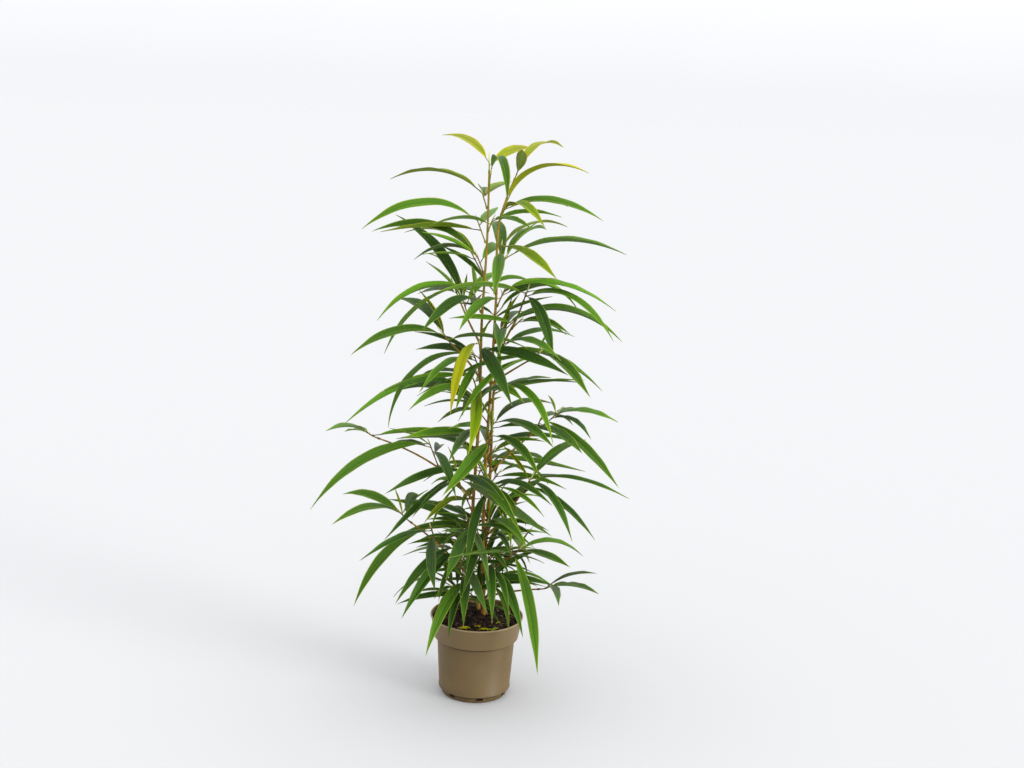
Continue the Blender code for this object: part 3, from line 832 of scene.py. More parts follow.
class Dressing:
    """A Principled material under construction, with patterns sized in metres."""

    def __init__(self, name: str, **surface: Any) -> None:
        """Starts a material.

        Args:
            name: Its name.
            **surface: Plain values for the shader's inputs, by their names with underscores.
        """
        self.material = bpy.data.materials.new(name)
        self.material.use_nodes = True
        self.tree = self.material.node_tree
        self.shader = self.tree.nodes["Principled BSDF"]
        self.place = add(self.tree, "ShaderNodeTexCoord").outputs["Object"]
        for socket, value in surface.items():
            words = socket.replace("_", " ").title().replace("Ior", "IOR")
            self.shader.inputs[words].default_value = value

    def stretched(self, scale: Triple) -> Socket:
        """The piece's own place, scaled along its axes to draw a pattern out."""
        return add(self.tree, "ShaderNodeMapping", {"Vector": self.place, "Scale": scale}).outputs[0]

    def rise(self) -> Socket:
        """The height of a place on the piece."""
        return add(self.tree, "ShaderNodeSeparateXYZ", {0: self.place}).outputs[2]

    def cloud(self, size: float, detail: float, place: Any = None) -> Socket:
        """Noise from 0 to 1 in patches of a size in metres, at the piece's own place or another."""
        inputs = {"Vector": place or self.place, "Scale": 1.0 / size, "Detail": detail}
        return add(self.tree, "ShaderNodeTexNoise", inputs).outputs[0]

    def ranged(self, value: Socket, low: float, high: float, least: float, most: float) -> Socket:
        """A value carried from low and high to least and most, and held between them."""
        inputs = {"Value": value, "From Min": low, "From Max": high, "To Min": least, "To Max": most}
        return add(self.tree, "ShaderNodeMapRange", inputs).outputs[0]

    def joined(self, operation: str, first: Any, second: Any = 0.0) -> Socket:
        """A value, or two put together, by a Math node's operation."""
        return add(self.tree, "ShaderNodeMath", {0: first, 1: second}, operation=operation).outputs[0]

    def laid(self, share: Socket, cover: str, under: Any) -> Socket:
        """A colour laid over another by a share."""
        inputs = {0: share, 6: under, 7: linear(cover)}
        return add(self.tree, "ShaderNodeMix", inputs, data_type="RGBA").outputs[2]

    def finish(
        self,
        colour: Socket | None = None,
        roughness: Socket | None = None,
        height: Socket | None = None,
        depth: float = 0.0001,
    ) -> Material:
        """Links the patterns to the shader. What isn't given stays plain.

        Args:
            colour: The base colour.
            roughness: The roughness.
            height: The relief, from 0 to 1.
            depth: The relief's depth in metres.

        Returns:
            The material.
        """
        if colour:
            self.tree.links.new(colour, self.shader.inputs["Base Color"])
        if roughness:
            self.tree.links.new(roughness, self.shader.inputs["Roughness"])
        if height:
            bump = add(self.tree, "ShaderNodeBump", {"Height": height, "Distance": depth})
            self.tree.links.new(bump.outputs[0], self.shader.inputs["Normal"])
        return self.material


@dataclass(frozen=True)
class MouldedPolypropylene:
    """Injection-moulded polypropylene: satin, faintly pebbled, scuffed, dusty below, with painted light on
    its collar, a painted highlight on its lip and painted shade in its creases.
    """

    colour: str = "#5a4829"
    rubbed: str = "#675536"
    # painted light: the collar's lighter colour
    painted_collar_light: str = "#6e5c3c"
    soiled: str = "#3c2f1e"
    # painted shade: the dark colour of the bands at the creases
    grime: str = "#231b10"
    # painted highlight: the pale colour along the lip
    lip: str = "#8c7858"
    soiled_height: float = 0.030
    creases: tuple[float, ...] = (0.1085, 0.0106)
    crease_half: float = 0.0024
    collar_edge: float = 0.001
    lip_foot: float = 0.1492
    lip_edge: float = 0.0012
    pebble: float = 0.0009
    pebble_depth: float = 0.00006
    scuff: float = 0.006
    flow: float = 0.045
    splash: float = 0.004

    def material(self) -> Material:
        """Makes the pot's material."""
        # A semi-crystalline plastic scatters light softly and shows broad, weak highlights.
        look = Dressing("moulded_polypropylene", specular_ior_level=0.3)
        rise = look.rise()
        rounds = look.cloud(self.scuff, 5, look.stretched((0.25, 0.25, 2.2)))
        flowed = look.ranged(look.cloud(self.flow, 4), 0.35, 0.7, 0.0, 0.45)
        colour = look.laid(flowed, self.rubbed, linear(self.colour))
        colour = look.laid(look.ranged(rounds, 0.62, 0.8, 0.0, 0.5), self.rubbed, colour)
        # Painted light: the collar is made lighter, rising towards the lip, for the light that falls on it.
        collar_foot = self.creases[0]
        held = look.ranged(rise, collar_foot, self.lip_foot, 0.55, 0.9)
        on_collar = look.ranged(rise, collar_foot, collar_foot + self.collar_edge, 0.0, 1.0)
        colour = look.laid(look.joined("MULTIPLY", held, on_collar), self.painted_collar_light, colour)
        low = look.ranged(rise, 0.0, self.soiled_height, 0.75, 0.0)
        splash = look.ranged(look.cloud(self.splash, 6), 0.42, 0.68, 0.0, 1.0)
        colour = look.laid(look.joined("MULTIPLY", low, splash), self.soiled, colour)
        # Painted shade: a dark band at each crease height, under the collar's edge and under the foot's
        # ledge, where shadow falls.
        for height in self.creases:
            off = look.joined("ABSOLUTE", look.joined("SUBTRACT", rise, height))
            near = look.ranged(off, self.crease_half * 0.5, self.crease_half, 0.92, 0.0)
            colour = look.laid(near, self.grime, colour)
        # Painted highlight: a pale band along the lip.
        lip_highlight = look.ranged(rise, self.lip_foot, self.lip_foot + self.lip_edge, 0.0, 0.8)
        colour = look.laid(lip_highlight, self.lip, colour)
        gloss = look.ranged(rounds, 0.3, 0.75, 0.36, 0.56)
        return look.finish(colour, gloss, look.cloud(self.pebble, 2), self.pebble_depth)


@dataclass(frozen=True)
class DampPeat:
    """Milled peat, damp below and drying on top: dull, nearly black, with paler crumbs and fibres."""

    wet: str = "#120c06"
    dry: str = "#2f2216"
    fibre: str = "#5a4530"
    crumb: float = 0.0035
    clod: float = 0.012
    strand: float = 0.0016
    relief: float = 0.0015

    def material(self) -> Material:
        """Makes the soil's material."""
        # Open, porous grains give no highlight at all.
        look = Dressing("damp_peat", roughness=0.95, specular_ior_level=0.15)
        clods = look.cloud(self.clod, 5)
        crumbs = look.cloud(self.crumb, 4)
        colour = look.laid(look.ranged(clods, 0.4, 0.66, 0.0, 1.0), self.dry, linear(self.wet))
        strands = look.cloud(self.strand, 2, look.stretched((0.2, 1.0, 1.0)))
        colour = look.laid(look.ranged(strands, 0.68, 0.78, 0.0, 0.7), self.fibre, colour)
        return look.finish(colour, None, look.joined("ADD", clods, crumbs), self.relief)


@dataclass(frozen=True)
class Crumb:
    """Loose matter on the soil, milled, barked or fallen: plain and dull, with a gritty grain."""

    name: str
    colour: str
    roughness: float = 0.9
    grain: float = 0.0007
    relief: float = 0.0003

    def material(self) -> Material:
        """Makes the material of one kind of crumb."""
        # Each kind keeps one colour, as its bits are too small to show a pattern.
        surface = {"roughness": self.roughness, "specular_ior_level": 0.25}
        look = Dressing(self.name, base_color=linear(self.colour), **surface)
        return look.finish(height=look.cloud(self.grain, 3), depth=self.relief)


@dataclass(frozen=True)
class SmoothBark:
    """Thin fig bark: brown and finely furrowed at the foot, olive and smoother up the stem."""

    old: str = "#7d5718"
    young: str = "#84701c"
    furrow: str = "#40300f"
    bloom: str = "#b58a3c"
    old_height: float = 0.25
    young_height: float = 0.85
    furrow_width: float = 0.0009
    furrow_depth: float = 0.0002
    patch: float = 0.009

    def material(self) -> Material:
        """Makes the bark of the stems and boughs."""
        # The cork is dull, but its outer skin still has a faint sheen where it's young.
        look = Dressing("smooth_fig_bark", specular_ior_level=0.2)
        age = look.ranged(look.rise(), self.old_height, self.young_height, 0.0, 1.0)
        colour = look.laid(age, self.young, linear(self.old))
        streak = look.cloud(self.furrow_width, 4, look.stretched((1.0, 1.0, 0.12)))
        patches = look.cloud(self.patch, 4, look.stretched((1.0, 1.0, 0.4)))
        colour = look.laid(look.ranged(streak, 0.3, 0.5, 0.7, 0.0), self.furrow, colour)
        colour = look.laid(look.ranged(patches, 0.5, 0.72, 0.0, 0.6), self.bloom, colour)
        gloss = look.ranged(streak, 0.3, 0.7, 0.75, 0.5)
        return look.finish(colour, gloss, streak, self.furrow_depth)


@dataclass(frozen=True)
class GreenBark:
    """Young green bark on twigs, petioles and buds: thin, waxy and finely ribbed."""

    name: str
    colour: str
    roughness: float = 0.5
    rib: float = 0.0006
    rib_depth: float = 0.0001

    def material(self) -> Material:
        """Makes the material of one kind of young growth."""
        # The skin still has its wax, so it shines a little along its edges.
        surface = {"roughness": self.roughness, "specular_ior_level": 0.2}
        look = Dressing(self.name, base_color=linear(self.colour), **surface)
        ribs = look.cloud(self.rib, 2, look.stretched((1.0, 1.0, 0.3)))
        return look.finish(height=ribs, depth=self.rib_depth)


@dataclass(frozen=True)
class WaxedLeaf:
    """A fig leaf's skin: a thick waxy cuticle over soft tissue, ribbed by its side veins."""

    name: str
    colour: str
    roughness: float = 0.45
    wax: float = 0.0
    sheen: float = 0.07
    vein_spacing: float = 0.0034  # wider than the real one, so that it shows
    vein_slant: float = 0.8
    cell: float = 0.0012
    relief: float = 0.00006

    def material(self) -> Material:
        """Makes the material of one shade of leaf."""
        # The wax gives a soft clear sheen over a green that stays matt itself.
        look = Dressing(
            self.name,
            base_color=linear(self.colour),
            roughness=self.roughness,
            coat_weight=self.wax,
            coat_roughness=0.3,
            specular_ior_level=self.sheen,
        )
        map_place = add(look.tree, "ShaderNodeUVMap", uv_map=UV_NAME).outputs[0]
        parts = add(look.tree, "ShaderNodeSeparateXYZ", {0: map_place}).outputs
        out = look.joined("ABSOLUTE", parts[0])
        slant = look.joined("SUBTRACT", parts[1], look.joined("MULTIPLY", out, self.vein_slant))
        turn = look.joined("MULTIPLY", slant, tau / self.vein_spacing)
        veins = look.joined("ABSOLUTE", look.joined("SINE", turn))
        cells = look.joined("MULTIPLY", look.cloud(self.cell, 2), 0.5)
        return look.finish(height=look.joined("ADD", veins, cells), depth=self.relief)


@dataclass(frozen=True)
class LeafColours:
    """What one tone of leaf is coloured: its face, the end of its blade, its back, and its rim and rib; the
    rim's paleness is partly a painted highlight.
    """

    face: str
    end: str
    back: str
    trim: str


LEAF_COLOURS = {
    Tone.YOUNG: LeafColours("#8f9c04", "#a4a408", "#8c981c", "#bc9c08"),
    Tone.OLIVE: LeafColours("#566f0a", "#6a840c", "#6a8028", "#aa9a14"),
    Tone.FRESH: LeafColours("#4f7c14", "#568218", "#668a38", "#94a428"),
    Tone.GRASS: LeafColours("#406416", "#466c18", "#587638", "#869628"),
    Tone.DEEP: LeafColours("#2c4a14", "#365818", "#4a6430", "#6e8228"),
    # The shaded tone: a greyish face that is a painted sheen, going to plain green at its end.
    Tone.SHADED: LeafColours("#4a5a38", "#466c28", "#586a40", "#7b8838"),
    Tone.YELLOW: LeafColours("#86920c", "#98940e", "#90942c", "#b49c1c"),
}
OLDER_TONES = (Tone.FRESH, Tone.GRASS, Tone.DEEP, Tone.SHADED)  # leaves with their wax grown
OLDER_WAX = 0.06
SHADES = (0.0, 0.22)  # how much darker a leaf's face is, by chance
SHADE_COLOUR = "#10200a"
ZONE_ENDS = (0.30, 0.66)  # shares of a blade where its face takes on its end's colour, in two steps
STAGGER = 0.045  # how far the steps lie apart across a blade
FADED_TIP = 0.955
FADED_COLOUR = "#a89a5c"
STALK_SKINS = (("lime", "#787d1e"), ("olive", "#60601c"), ("brown", "#4a3815"))
# The height above which each skin is found, its name and its colour
TWIG_SKINS = ((0.84, "green", "#777a1e"), (0.45, "olive", "#69581c"), (-1.0, "brown", "#5d4518"))


# Meshes


class Skin:
    """Closed skins gathered for one joined mesh, each face with its material and its UVs."""

    def __init__(self) -> None:
        """Starts empty."""
        self.points: list[Vector] = []
        self.faces: list[Face] = []
        self.uvs: list[Pair] = []
        self.dress: list[Material] = []

    def wrap(
        self,
        rings: Sequence[Ring],
        uvs: Sequence[Sequence[Pair]],
        dress: Callable[[int, int], Material],
    ) -> None:
        """Adds a closed skin over rings that turn counter-clockwise as seen from the far end.

        Args:
            rings: The sections, each with as many points.
            uvs: A place on the map for each point of a ring, and one more where it closes.
            dress: The material for a station's number and a side's number.
        """
        count, first = len(rings[0]), len(self.points)
        for ring in rings:
            self.points.extend(ring)
        for station in range(len(rings) - 1):
            low = first + station * count
            near, far = uvs[station], uvs[station + 1]
            for side in range(count):
                after = (side + 1) % count
                self.faces.append((low + side, low + after, low + after + count, low + side + count))
                self.uvs += (near[side], near[side + 1], far[side + 1], far[side])
                self.dress.append(dress(station, side))
        last = first + (len(rings) - 1) * count
        self.faces += [tuple(reversed(range(first, first + count))), tuple(range(last, last + count))]
        self.uvs += [*reversed(uvs[0][:count]), *uvs[-1][:count]]
        self.dress += [dress(0, 0), dress(len(rings) - 2, 0)]

    def tube(
        self, points: Sequence[Vector], radii: Sequence[float], sides: int, material: Material
    ) -> None:
        """Adds a tapering round tube.

        Args:
            points: Its middle line.
            radii: Its radius at each point.
            sides: How many sides it has.
            material: Its material.
        """
        rings, uvs = [], []
        turns = [tau * k / sides for k in range(sides + 1)]
        for point, radius, run, (side, up) in zip(points, radii, runs(points), carried(points)):
            rings.append([point + (side * cos(a) + up * sin(a)) * radius for a in turns[:-1]])
            uvs.append([(a * radius, run) for a in turns])
        self.wrap(rings, uvs, lambda station, side: material)

    def piece(self, name: str) -> Object:
        """Makes the mesh and its object.

        Args:
            name: The piece's name.

        Returns:
            The object.
        """
        mesh = bpy.data.meshes.new(name)
        mesh.from_pydata(self.points, [], self.faces)
        slots = list(dict.fromkeys(self.dress))
        for material in slots:
            mesh.materials.append(material)
        numbers = {material: i for i, material in enumerate(slots)}
        mesh.polygons.foreach_set("material_index", [numbers[material] for material in self.dress])
        layer = mesh.uv_layers.new(name=UV_NAME)
        layer.data.foreach_set("uv", [value for place in self.uvs for value in place])
        mesh.shade_smooth()
        return linked(name, mesh)


def mesh_of(work: bmesh.types.BMesh, name: str) -> Mesh:
    """The mesh of finished work, which is then freed."""
    mesh = bpy.data.meshes.new(name)
    work.to_mesh(mesh)
    work.free()
    return mesh


def linked(name: str, data: bpy.types.ID) -> Object:
    """An object of a mesh, lamp or camera, in the scene."""
    item = bpy.data.objects.new(name, data)
    bpy.context.scene.collection.objects.link(item)
    return item


def settled(item: Object) -> Object:
    """Applies an object's modifiers to its mesh.

    Args:
        item: The object.

    Returns:
        The same object, with no modifiers.
    """
    bpy.context.view_layer.update()
    depsgraph = bpy.context.evaluated_depsgraph_get()
    mesh = bpy.data.meshes.new_from_object(item.evaluated_get(depsgraph))
    item.modifiers.clear()
    item.data = mesh
    return item


def carried(points: Sequence[Vector]) -> list[tuple[Vector, Vector]]:
    """Directions across a line, carried from point to point without a twist.

    Args:
        points: The line.

    Returns:
        A side and an up for each point.
    """
    ways = []
    side = None
    for before, after in zip([points[0], *points], [*points[1:], points[-1]]):
        tangent = (after - before).normalized()
        side = tangent.orthogonal() if side is None else side - side.dot(tangent) * tangent
        side = side.normalized()
        ways.append((side, tangent.cross(side)))
    return ways


def arc(centre: Pair, radius: float, start: float, end: float, count: int) -> list[Pair]:
    """Points of a round stretch of a profile, between two angles in degrees from straight out."""
    turns = [radians(start + (end - start) * share) for share in even_shares(count)]
    return [(centre[0] + radius * cos(a), centre[1] + radius * sin(a)) for a in turns]


def scatter_tree() -> NodeTree:
    """Geometry nodes that strew faceted grains over a surface.

    Returns:
        The tree, with named inputs for the grains' number, sizes and lie.
    """
    tree = bpy.data.node_groups.new("strewn_grains", "GeometryNodeTree")
    for name, kind in (
        ("Geometry", "Geometry"),
        ("Bed", "Bool"),
        ("Per Square Metre", "Float"),
        ("Least Size", "Vector"),
        ("Most Size", "Vector"),
        ("Tumble", "Float"),
        ("Seed", "Int"),
        ("Finish", "Material"),
    ):
        tree.interface.new_socket(name, in_out="INPUT", socket_type=f"NodeSocket{kind}")
    tree.interface.new_socket("Geometry", in_out="OUTPUT", socket_type="NodeSocketGeometry")
    given = add(tree, "NodeGroupInput").outputs
    bed = {"Mesh": given["Geometry"], "Selection": given["Bed"]}
    number = {"Density": given["Per Square Metre"], "Seed": given["Seed"]}
    strewn = add(tree, "GeometryNodeDistributePointsOnFaces", bed | number)
    grain = add(tree, "GeometryNodeMeshIcoSphere", {"Radius": 0.5, "Subdivisions": 1})
    vector = "FLOAT_VECTOR"
    size, turn = (
        add(tree, "FunctionNodeRandomValue", {0: least, 1: most, "Seed": given["Seed"]}, data_type=vector)
        for least, most in ((given["Least Size"], given["Most Size"]), ((-pi,) * 3, (pi,) * 3))
    )
    share = {0: turn.outputs[0], "Scale": given["Tumble"]}
    tumble = add(tree, "ShaderNodeVectorMath", share, operation="SCALE")
    tumbled = add(tree, "FunctionNodeEulerToRotation", {0: tumble.outputs[0]})
    turns = {0: strewn.outputs["Rotation"], 1: tumbled.outputs[0]}
    lie = add(tree, "FunctionNodeRotateRotation", turns, rotation_space="LOCAL")
    grains = {"Points": strewn.outputs["Points"], "Instance": grain.outputs["Mesh"]}
    lies = {"Rotation": lie.outputs[0], "Scale": size.outputs[0]}
    placed = add(tree, "GeometryNodeInstanceOnPoints", grains | lies)
    real = add(tree, "GeometryNodeRealizeInstances", {0: placed.outputs[0]})
    finish = {"Geometry": real.outputs[0], "Material": given["Finish"]}
    dressed = add(tree, "GeometryNodeSetMaterial", finish)
    add(tree, "NodeGroupOutput", {0: dressed.outputs[0]})
    return tree


@dataclass(frozen=True)
class Strewn:
    """One kind of grain strewn over a surface."""

    name: str
    finish: Material
    number: float
    least: Triple
    most: Triple
    tumble: float
    seed: int

    def over(self, bed: Mesh, tree: NodeTree) -> Object:
        """Strews the grains.

        Args:
            bed: The mesh that they lie on, where its bed attribute is true.
            tree: The nodes that strew them.

        Returns:
            A plain mesh object of the grains alone.
        """
        item = linked(self.name, bed.copy())
        modifier = item.modifiers.new("strewn", "NODES")
        modifier.node_group = tree
        sockets = {s.name: s.identifier for s in tree.interface.items_tree if s.in_out == "INPUT"}
        modifier[sockets["Bed"] + "_use_attribute"] = True
        modifier[sockets["Bed"] + "_attribute_name"] = BED
        for socket, value in (
            ("Per Square Metre", self.number),
            ("Least Size", self.least),
            ("Most Size", self.most),
            ("Tumble", self.tumble),
            ("Seed", self.seed),
            ("Finish", self.finish),
        ):
            modifier[sockets[socket]] = value
        return settled(item)


# The pot


@dataclass
class NurseryPot:
    """A tapered body on a narrower foot, under a deep collar with a rolled lip."""

    height: float = 0.152
    rim_radius: float = 0.085
    collar_depth: float = 0.041
    collar_foot_radius: float = 0.079
    body_top_radius: float = 0.0725
    body_foot_radius: float = 0.0665
    step_slope: float = 0.0015
    groove_depth: float = 0.0012
    groove_height: float = 0.0022
    ledge: float = 0.0009
    foot_height: float = 0.0125
    foot_top_radius: float = 0.0625
    foot_radius: float = 0.0605
    wall: float = 0.0013
    lip_radius: float = 0.0015
    edge_radius: float = 0.0012
    fine_radius: float = 0.0005
    floor_top: float = 0.0055
    ring_width: float = 0.008
    pad_radius: float = 0.036
    base_recess: float = 0.0035
    steps: int = 192
    slots: int = 7
    first_slot: float = 281.4
    slot_width: float = 0.013
    slot_foot: float = 0.0045
    slot_top: float = 0.0118
    slot_depth: float = 0.016
    lugs: int = 4
    lug_width: float = 0.0022
    lug_height: float = 0.0035
    lug_stand: float = 0.0016
    lug_sink: float = 0.0009
    lug_tip_radius: float = 0.0003
    stub_azimuth: float = 261.0
    stub_height: float = 0.021
    stub_radius: float = 0.0009
    stub_sink: float = 0.0006
    stub_lengths: Pair = (0.0012, 0.0017)

    def profile(self) -> list[Pair]:
        """The half section, from the middle of the floor over the lip to the underside."""
        lip, edge, fine, wall = self.lip_radius, self.edge_radius, self.fine_radius, self.wall
        rim, collar, body = self.rim_radius, self.collar_foot_radius, self.body_top_radius
        waist, neck, foot = self.body_foot_radius, self.foot_top_radius, self.foot_radius
        step_z, lip_z, foot_z = self.height - self.collar_depth, self.height - lip, self.foot_height
        return [
            (0.0, self.floor_top),
            (neck - wall, self.floor_top),
            (neck - wall, foot_z + wall),
            (waist - wall, foot_z + wall),
            (body - wall, step_z + self.step_slope + wall),
            (collar - wall, step_z + wall + self.step_slope),
            (rim - wall, lip_z - lip),
            *arc((rim - wall + lip, lip_z), lip, 180, 0, 9),
            *arc((rim - wall + lip, lip_z - lip * 0.6), lip, 0, -80, 6),
            (rim - 0.0002, lip_z - lip * 2.2),
            (collar + 0.0001, step_z + fine * 2),
            *arc((collar - fine, step_z + fine), fine, 0, -90, 4),
            (body - self.groove_depth, step_z + self.step_slope * 0.9),
            (body - self.groove_depth, step_z - self.groove_height * 0.6),
            *arc((body - fine, step_z - self.groove_height - fine), fine, 75, 0, 4),
            (waist + 0.0001, foot_z + 0.0034),
            (waist + self.ledge, foot_z + 0.0022),
            (waist + self.ledge, foot_z + fine),
            *arc((waist + self.ledge - fine, foot_z + fine), fine, 0, -90, 4),
            (neck, foot_z),
            (foot + edge * 0.2, edge),
            *arc((foot - edge, edge), edge, 0, -90, 4),
            (foot - self.ring_width, 0.0),
            (foot - self.ring_width, self.base_recess),
            (self.pad_radius, self.base_recess),
            (self.pad_radius, 0.0),
            (0.0, 0.0),
        ]

    def turned(self) -> Object:
        """The half section turned about the pot's axis, as a closed mesh."""
        work = bmesh.new()
        verts = [work.verts.new((radius, 0.0, height)) for radius, height in self.profile()]
        edges = [work.edges.new(pair) for pair in zip(verts, verts[1:])]
        turn = {"cent": (0, 0, 0), "axis": (0, 0, 1), "angle": tau, "steps": self.steps}
        bmesh.ops.spin(work, geom=verts + edges, use_merge=True, **turn)
        bmesh.ops.remove_doubles(work, verts=work.verts, dist=MERGE_DISTANCE)
        bmesh.ops.recalc_face_normals(work, faces=work.faces)
        return linked("nursery_pot_shell", mesh_of(work, "nursery_pot_shell"))

    def cutters(self) -> bpy.types.Collection:
        """Rounded boxes where the drain slots are cut."""
        cutters = bpy.data.collections.new("slot_cutters")
        bpy.context.scene.collection.children.link(cutters)
        for index in range(self.slots):
            angle = radians(self.first_slot + index * 360 / self.slots)
            work = bmesh.new()
            bmesh.ops.create_cube(work, size=1.0)
            size = (self.slot_depth, self.slot_width, self.slot_top - self.slot_foot)
            bmesh.ops.scale(work, vec=size, verts=work.verts)
            upright = [e for e in work.edges if abs(e.verts[0].co.x - e.verts[1].co.x) > size[0] / 2]
            round_edge = {"offset": self.edge_radius, "segments": 4, "profile": 0.5, "affect": "EDGES"}
            bmesh.ops.bevel(work, geom=upright, **round_edge)
            middle = Vector((self.foot_radius * cos(angle), self.foot_radius * sin(angle), 0))
            middle.z = (self.slot_foot + self.slot_top) / 2
            work.transform(Matrix.Translation(middle) @ Matrix.Rotation(angle, 4, "Z"))
            mesh = mesh_of(work, f"slot_cutter_{index}")
            cutters.objects.link(bpy.data.objects.new(mesh.name, mesh))
        return cutters

    def build(self) -> Object:
        """Turns the pot and cuts its drain slots.

        Returns:
            The shell.
        """
        pot = self.turned()
        cutters = self.cutters()
        cut = pot.modifiers.new("drain_slots", "BOOLEAN")
        cut.operation = "DIFFERENCE"
        cut.operand_type = "COLLECTION"
        cut.collection = cutters
        cut.solver = "EXACT"
        settled(pot)
        for cutter in list(cutters.objects):
            bpy.data.objects.remove(cutter)
        bpy.data.collections.remove(cutters)
        pot.data.shade_smooth()
        pot.data.set_sharp_from_angle(angle=radians(SHARP_ANGLE))
        pot.data.materials.clear()
        pot.data.materials.append(MouldedPolypropylene().material())
        return pot

    def details(self, plastic: Material) -> Object:
        """The stacking lugs under the collar and the stub of the mould's gate.

        Args:
            plastic: The pot's material.

        Returns:
            One joined piece.
        """
        skin = Skin()
        step_z = self.height - self.collar_depth
        for index in range(self.lugs):
            out = heading(270 + index * 360 / self.lugs, 0)
            top = out * (self.body_top_radius + self.lug_stand)
            top.z = step_z + self.step_slope * 0.5
            foot = out * (self.body_top_radius - self.lug_sink)
            foot.z = step_z - self.lug_height
            radii = [self.lug_width / 2, self.lug_width / 2, self.lug_tip_radius]
            skin.tube([top, (top + foot) / 2, foot], radii, 8, plastic)
        out = heading(self.stub_azimuth, 0)
        share = (self.stub_height - self.foot_height) / (step_z - self.foot_height)
        radius = self.body_foot_radius + (self.body_top_radius - self.body_foot_radius) * share
        root = out * (radius - self.stub_sink) + Vector((0, 0, self.stub_height))
        stub = [root + out * length for length in (0.0, *self.stub_lengths)]
        skin.tube(stub, [self.stub_radius, self.stub_radius, self.stub_radius * 0.5], 12, plastic)
        return skin.piece("nursery_pot_lugs")


# The soil


@dataclass
class PottingSoil:
    """Peat that fills the pot to just under its lip, heaped in the middle and littered with crumbs."""

    top: float = SOIL_TOP
    shoulder: float = 0.1465
    edge: float = 0.141
    level_radius: float = 0.046
    edge_radius: float = 0.0815
    lower: tuple[Pair, ...] = (
        (0.0700, 0.112), (0.0648, 0.0145), (0.0609, 0.0142), (0.0609, 0.0058)
    )  # the buried profile inside the pot, as (radius, height)
    rings: int = 46
    spokes: int = 150
    clod: float = 0.012
    clod_height: float = 0.0050
    crumb: float = 0.0035
    crumb_height: float = 0.0012
    settling: float = 0.0012
    bed_share: float = 0.985
    bed_lowest: float = 0.13

    def surface(self, radius: float, around: float) -> float:
        """The soil's height at a place, with its clods.

        Args:
            radius: Distance from the middle.
            around: Azimuth in radians.

        Returns:
            The height.
        """
        half = (self.level_radius + self.edge_radius) / 2
        height = self.top
        if self.level_radius <= radius < half:
            share = (radius - self.level_radius) / (half - self.level_radius)
            height = self.top + (self.shoulder - self.top) * share
        elif radius >= half:
            share = (radius - half) / (self.edge_radius - half)
            height = self.shoulder + (self.edge - self.shoulder) * share
        place = Vector((radius * cos(around), radius * sin(around), 0.0))
        clods = noise.noise(place / self.clod) * self.clod_height
        crumbs = noise.noise(place / self.crumb + Vector((7, 3, 1))) * self.crumb_height
        return height - self.settling + clods + crumbs

    def build(self, peat: Material) -> Object:
        """Heaps the soil.

        Args:
            peat: Its material.

        Returns:
            A closed mesh, with the bed attribute on its top.
        """
        work = bmesh.new()
        middle = work.verts.new((0, 0, self.surface(0, 0)))
        turns = [tau * i / self.spokes for i in range(self.spokes)]
        radii = [self.edge_radius * ring / self.rings for ring in range(1, self.rings + 1)]
        rows = [[(radius, self.surface(radius, a), a) for a in turns] for radius in radii]
        rows += [[(radius, height, a) for a in turns] for radius, height in self.lower]
        loops = [[work.verts.new((r * cos(a), r * sin(a), z)) for r, z, a in row] for row in rows]
        for i in range(self.spokes):
            work.faces.new((middle, loops[0][i], loops[0][(i + 1) % self.spokes]))
        for inner, outer in zip(loops, loops[1:]):
            for i in range(self.spokes):
                after = (i + 1) % self.spokes
                work.faces.new((inner[i], outer[i], outer[after], inner[after]))
        work.faces.new(list(reversed(loops[-1])))
        bmesh.ops.recalc_face_normals(work, faces=work.faces)
        mesh = mesh_of(work, "potting_soil_heap")
        bed = mesh.attributes.new(BED, "BOOLEAN", "FACE")
        inside = self.edge_radius * self.bed_share
        tops = [f.center.z > self.bed_lowest and f.center.xy.length < inside for f in mesh.polygons]
        bed.data.foreach_set("value", tops)
        mesh.materials.append(peat)
        mesh.shade_smooth()
        return linked("potting_soil_heap", mesh)

    def litter(self, heap: Object, tree: NodeTree) -> list[Object]:
        """Strews crumbs, bark chips and fibres over the soil.

        Args:
            heap: The soil.
            tree: The nodes that strew them.

        Returns:
            One object for each kind.
        """
        black = Crumb("milled_peat_crumbs", "#181009")
        brown = Crumb("brown_peat_crumbs", "#2e2014")
        chip = Crumb("composted_bark_chips", "#4a311e", 0.85)
        fibre = Crumb("pale_root_fibres", "#7d6542", 0.8)
        # Name, look, number, least and greatest size along each axis, tumble, seed
        kinds = (
            ("peat_crumbs_dark", black, 70000, (0.0016,) * 3, (0.0060, 0.0060, 0.0045), 1, 11),
            ("peat_crumbs_brown", brown, 26000, (0.0016,) * 3, (0.0070, 0.0060, 0.0045), 1, 23),
            ("bark_chips", chip, 9000, (0.005, 0.003, 0.0014), (0.012, 0.008, 0.0035), 0.22, 31),
            ("root_fibres", fibre, 5200, (0.006, 0.0005, 0.0005), (0.016, 0.0009, 0.0008), 0.2, 47),
        )
        return [
            Strewn(name, crumb.material(), *lie).over(heap.data, tree) for name, crumb, *lie in kinds
        ]


# Stems and boughs

STEM_SIDES = 20
BOUGH_SIDES = 14


